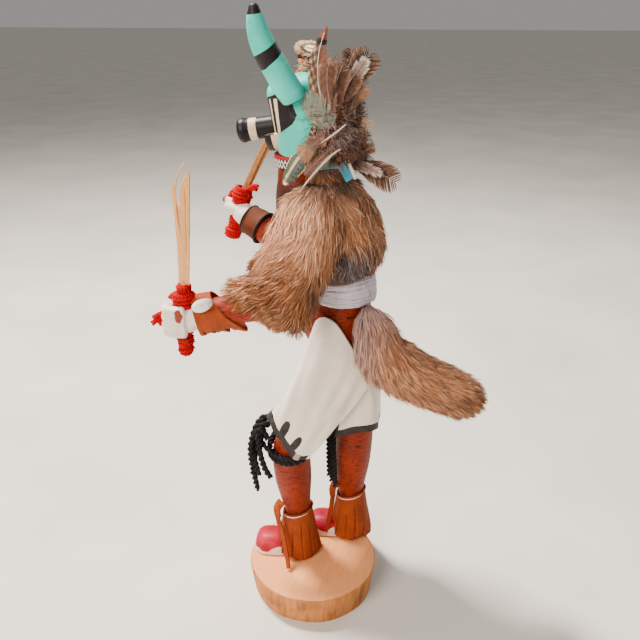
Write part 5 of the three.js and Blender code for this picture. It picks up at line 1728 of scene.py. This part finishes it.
def featherGrid(root, middle, tip, half, kind, outline, facing, rng, barbs, ragged):
    line, slope, span = spineOf(root, middle, tip)
    length = np.linalg.norm(span)
    flatWay = unit(np.cross(facing, span))
    points, quads, colours = [], [], []
    count = 8 if barbs > 20 else 5
    steps = np.linspace(0, 1, count)
    narrow = np.interp(steps, [0, 0.25, 0.5, 0.75, 1], [0.9, 1.0, 0.95, 0.8, 0.45])
    thin = length / barbs * 0.95 * narrow * (0.5 if kind == "wisp" else 1)
    for sign in (-1, 1):
        ends = (np.arange(barbs) + 0.5) / barbs
        group = np.cumsum(rng.uniform(0, 1, barbs) < 0.14)
        push = rng.normal(0, 0.012 * ragged, group.max() + 1)[group]
        reach = np.interp(ends, *outlines[outline]) * half * rng.normal(1, 0.035 * ragged, barbs)
        lift = rng.normal(0, 0.5 * ragged, group.max() + 1)[group]
        start = np.clip(ends - 0.75 * reach / length, 0.0, 0.96)
        for i in range(barbs):
            s = start[i] + (ends[i] + push[i] - start[i]) * steps ** 1.15
            t = np.clip(s, 0, 1)
            along = slope(t)
            across = squareTo(along, flatWay)
            normal = np.cross(along, across)
            r = reach[i] * steps
            spot = line(t) + along * ((s - t) * length)[:, None] + across * (sign * r)[:, None]
            spot -= normal * (0.035 * r ** 2 - lift[i] * steps ** 2)[:, None]
            wide = unit(np.cross(normal, unit(np.gradient(spot, axis=0)))) * thin[:, None] * 0.72
            first = len(points) * 2 * count
            points.append(np.stack([spot - wide, spot + wide], axis=1).reshape(-1, 3))
            quads += [[first + 2 * k, first + 2 * k + 1, first + 2 * k + 3, first + 2 * k + 2]
                      for k in range(count - 1)]
            colour = markings(kind, t, sign * r / half, rng) * rng.uniform(0.88, 1.1)
            colours.append(np.repeat(colour, 2, axis=0))
    return np.concatenate(points), quads, np.concatenate(colours)


def quillGrid(root, middle, tip, thick):
    line = spineOf(root, middle, tip)[0](np.linspace(-0.05, 0.93, 16))
    size = thick * np.linspace(1, 0.35, 16)
    return tubeGrid(Path(np.c_[line, size, size], 16, side=(0.3, 0.5, 0.8)), 5)


def outsideMask(points, margin, topZ):
    x, y = mask["centre"][:2]
    return (np.hypot(points[:, 0] - x, points[:, 1] - y) > mask["radius"] + margin) | (points[:, 2] > topZ)


def makePlumes():
    rng = np.random.default_rng(77)
    grids = []
    for root, middle, tip, half, kind, outline, facing in plumes["list"]:
        ragged = 1.6 if kind in ("soft", "wing") else 0.6
        grids.append(featherGrid(root, middle, tip, half, kind, outline, facing, rng, plumes["barbs"], ragged))
        spots, shape = quillGrid(root, middle, tip, plumes["quill"])
        tone = tint(paleQuill if kind in ("tall", "wisp") else quillTone)
        grids.append((spots, shape, np.tile(tone, (len(spots), 1))))
    # small body feathers lie like tiles over the back and the near cheek
    path = Path(plumes["mass"], 40, upright=True, grow=-2.5)
    small = plumes["small"]
    for _ in range(small["count"]):
        spot, normal, _ = path.at(rng.uniform(0.04, 0.94), rng.uniform(0, turn))
        away = math.hypot(*(spot[0, :2] - mask["centre"][:2]))
        isClear = away > mask["radius"] + 0.5 or spot[0, 2] >= plumes["crown"]
        if not isClear:
            continue
        spot, normal = spot[0], normal[0]
        flow = unit(np.array([0.1, 0.25 + (spot[1] - 10) * 0.03, -0.9]) + rng.normal(0, 0.45, 3))
        flow = unit(flow - normal * (flow @ normal))
        long = rng.uniform(8, 14)
        kind = rng.choice(small["kinds"], p=small["shares"])
        tip = spot + flow * long + normal * rng.uniform(0.5, 4.0)
        if tip[2] < small["lowestTip"]:
            continue
        grids.append(featherGrid(spot, (spot + tip) / 2 + normal * 1.3, tip, rng.uniform(2.6, 4.2), kind, "fan",
                                 normal, rng, 15, 2.4))
    piece = gathered("head_plumes", [(points, shape) for points, shape, _ in grids])
    storeColours(piece, "hair", np.concatenate([colours for _, _, colours in grids]))
    dress(piece, hairFinish("featherVane"), "feathers", "head_feathers")


def makeDown():
    # loose barbs of down, long thin and curling, grey at the skin and brown outside
    rng = np.random.default_rng(78)
    path = Path(plumes["mass"], 40, upright=True, grow=-5)
    roots, normals, _ = scatter(path, plumes["downStrands"], rng)
    keep = outsideMask(roots, -1.0, plumes["crown"]) & (roots[:, 2] > plumes["downFrom"])
    roots, normals = roots[keep], normals[keep]
    n = len(roots)
    _, y, z = roots.T
    flow = np.stack([np.zeros(n), 0.25 + (y - 12) * 0.04, np.where(z > 322, 0.35, -0.6)], axis=1)
    flow = flow + rng.normal(0, 0.5, (n, 3))
    length, width, lift = rng.uniform(5, 11, n), rng.uniform(0.22, 0.4, n), rng.uniform(0.4, 1.1, n)
    grid = hairGrid(roots, normals, flow, length, width, lift, rng, clump=0.45, locks=240, curl=0.9, sag=0.05)
    lilac, brown, tan, dark = tones("downLilac", "downBrown", "downTan", "downDark")
    own = rng.uniform(0, 1, n)
    middle = blended(brown, (lilac, np.clip(wave(roots, 15, 8) * 1.5 - 0.35 + (z - 318) * 0.012, 0, 1)),
                     (tan, np.clip((own > 0.72) * 0.6 + (y < 8) * 0.3, 0, 1)),
                     (dark, np.clip((own < 0.25) * 0.7 + (z < 306) * 0.25, 0, 1)))
    colours = strandColours(middle * 0.55, middle, middle * 1.08)
    furPiece("head_down", [grid], [colours], hairFinish("downHair"), "feathers")
    core = tubeGrid(Path(plumes["mass"], 40, upright=True, grow=-6), 36)
    hide = openShell("down_core", *core, lambda middles: outsideMask(middles, -2.0, plumes["crown"] + 1))
    modify(hide, "SOLIDIFY", thickness=0.8 * mm, offset=-1)
    dress(hide, leatherFinish("downShade", "#2f241f", "#4a3a33", "#5e4b43"), "feathers")


napeRibbons = {
    # name: path, width, facing, finish name, roughness, two tones
    "nape_strip": ([[9.4, 19.6, 302.0], [8.2, 22.0, 297.4], [7.2, 23.8, 292.8]], 6.0, (0.75, 0.62, 0.2),
                   "napeBlue", 0.5, "#2f8fb0", "#4fb4cf"),
    "nape_ruff": ([[16.5, 6.5, 301.0], [14.0, 12.5, 301.6], [10.0, 18.0, 301.2]], 5.0, (0.8, 0.35, 0.5),
                  "napePale", 0.6, "#5f9a96", "#8fc4bd"),
    "nape_edge": ([[8.0, 23.4, 301.6], [7.2, 25.2, 297.6], [6.4, 26.8, 293.4]], 1.6, (0.75, 0.62, 0.2),
                  "napeWhite", 0.6, "#d8cfc6", "#f1ebe3"),
}

makePlumes()
makeDown()
for name, (points, width, facing, finishName, rough, low, high) in napeRibbons.items():
    paint = Finish(finishName, roughness=rough)
    paint.colour(paint.twoTone(160, low, high, detail=3))
    ribbon(name, points, width, 0.8, facing, paint, "feathers")
print("feathers made")

low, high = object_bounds()
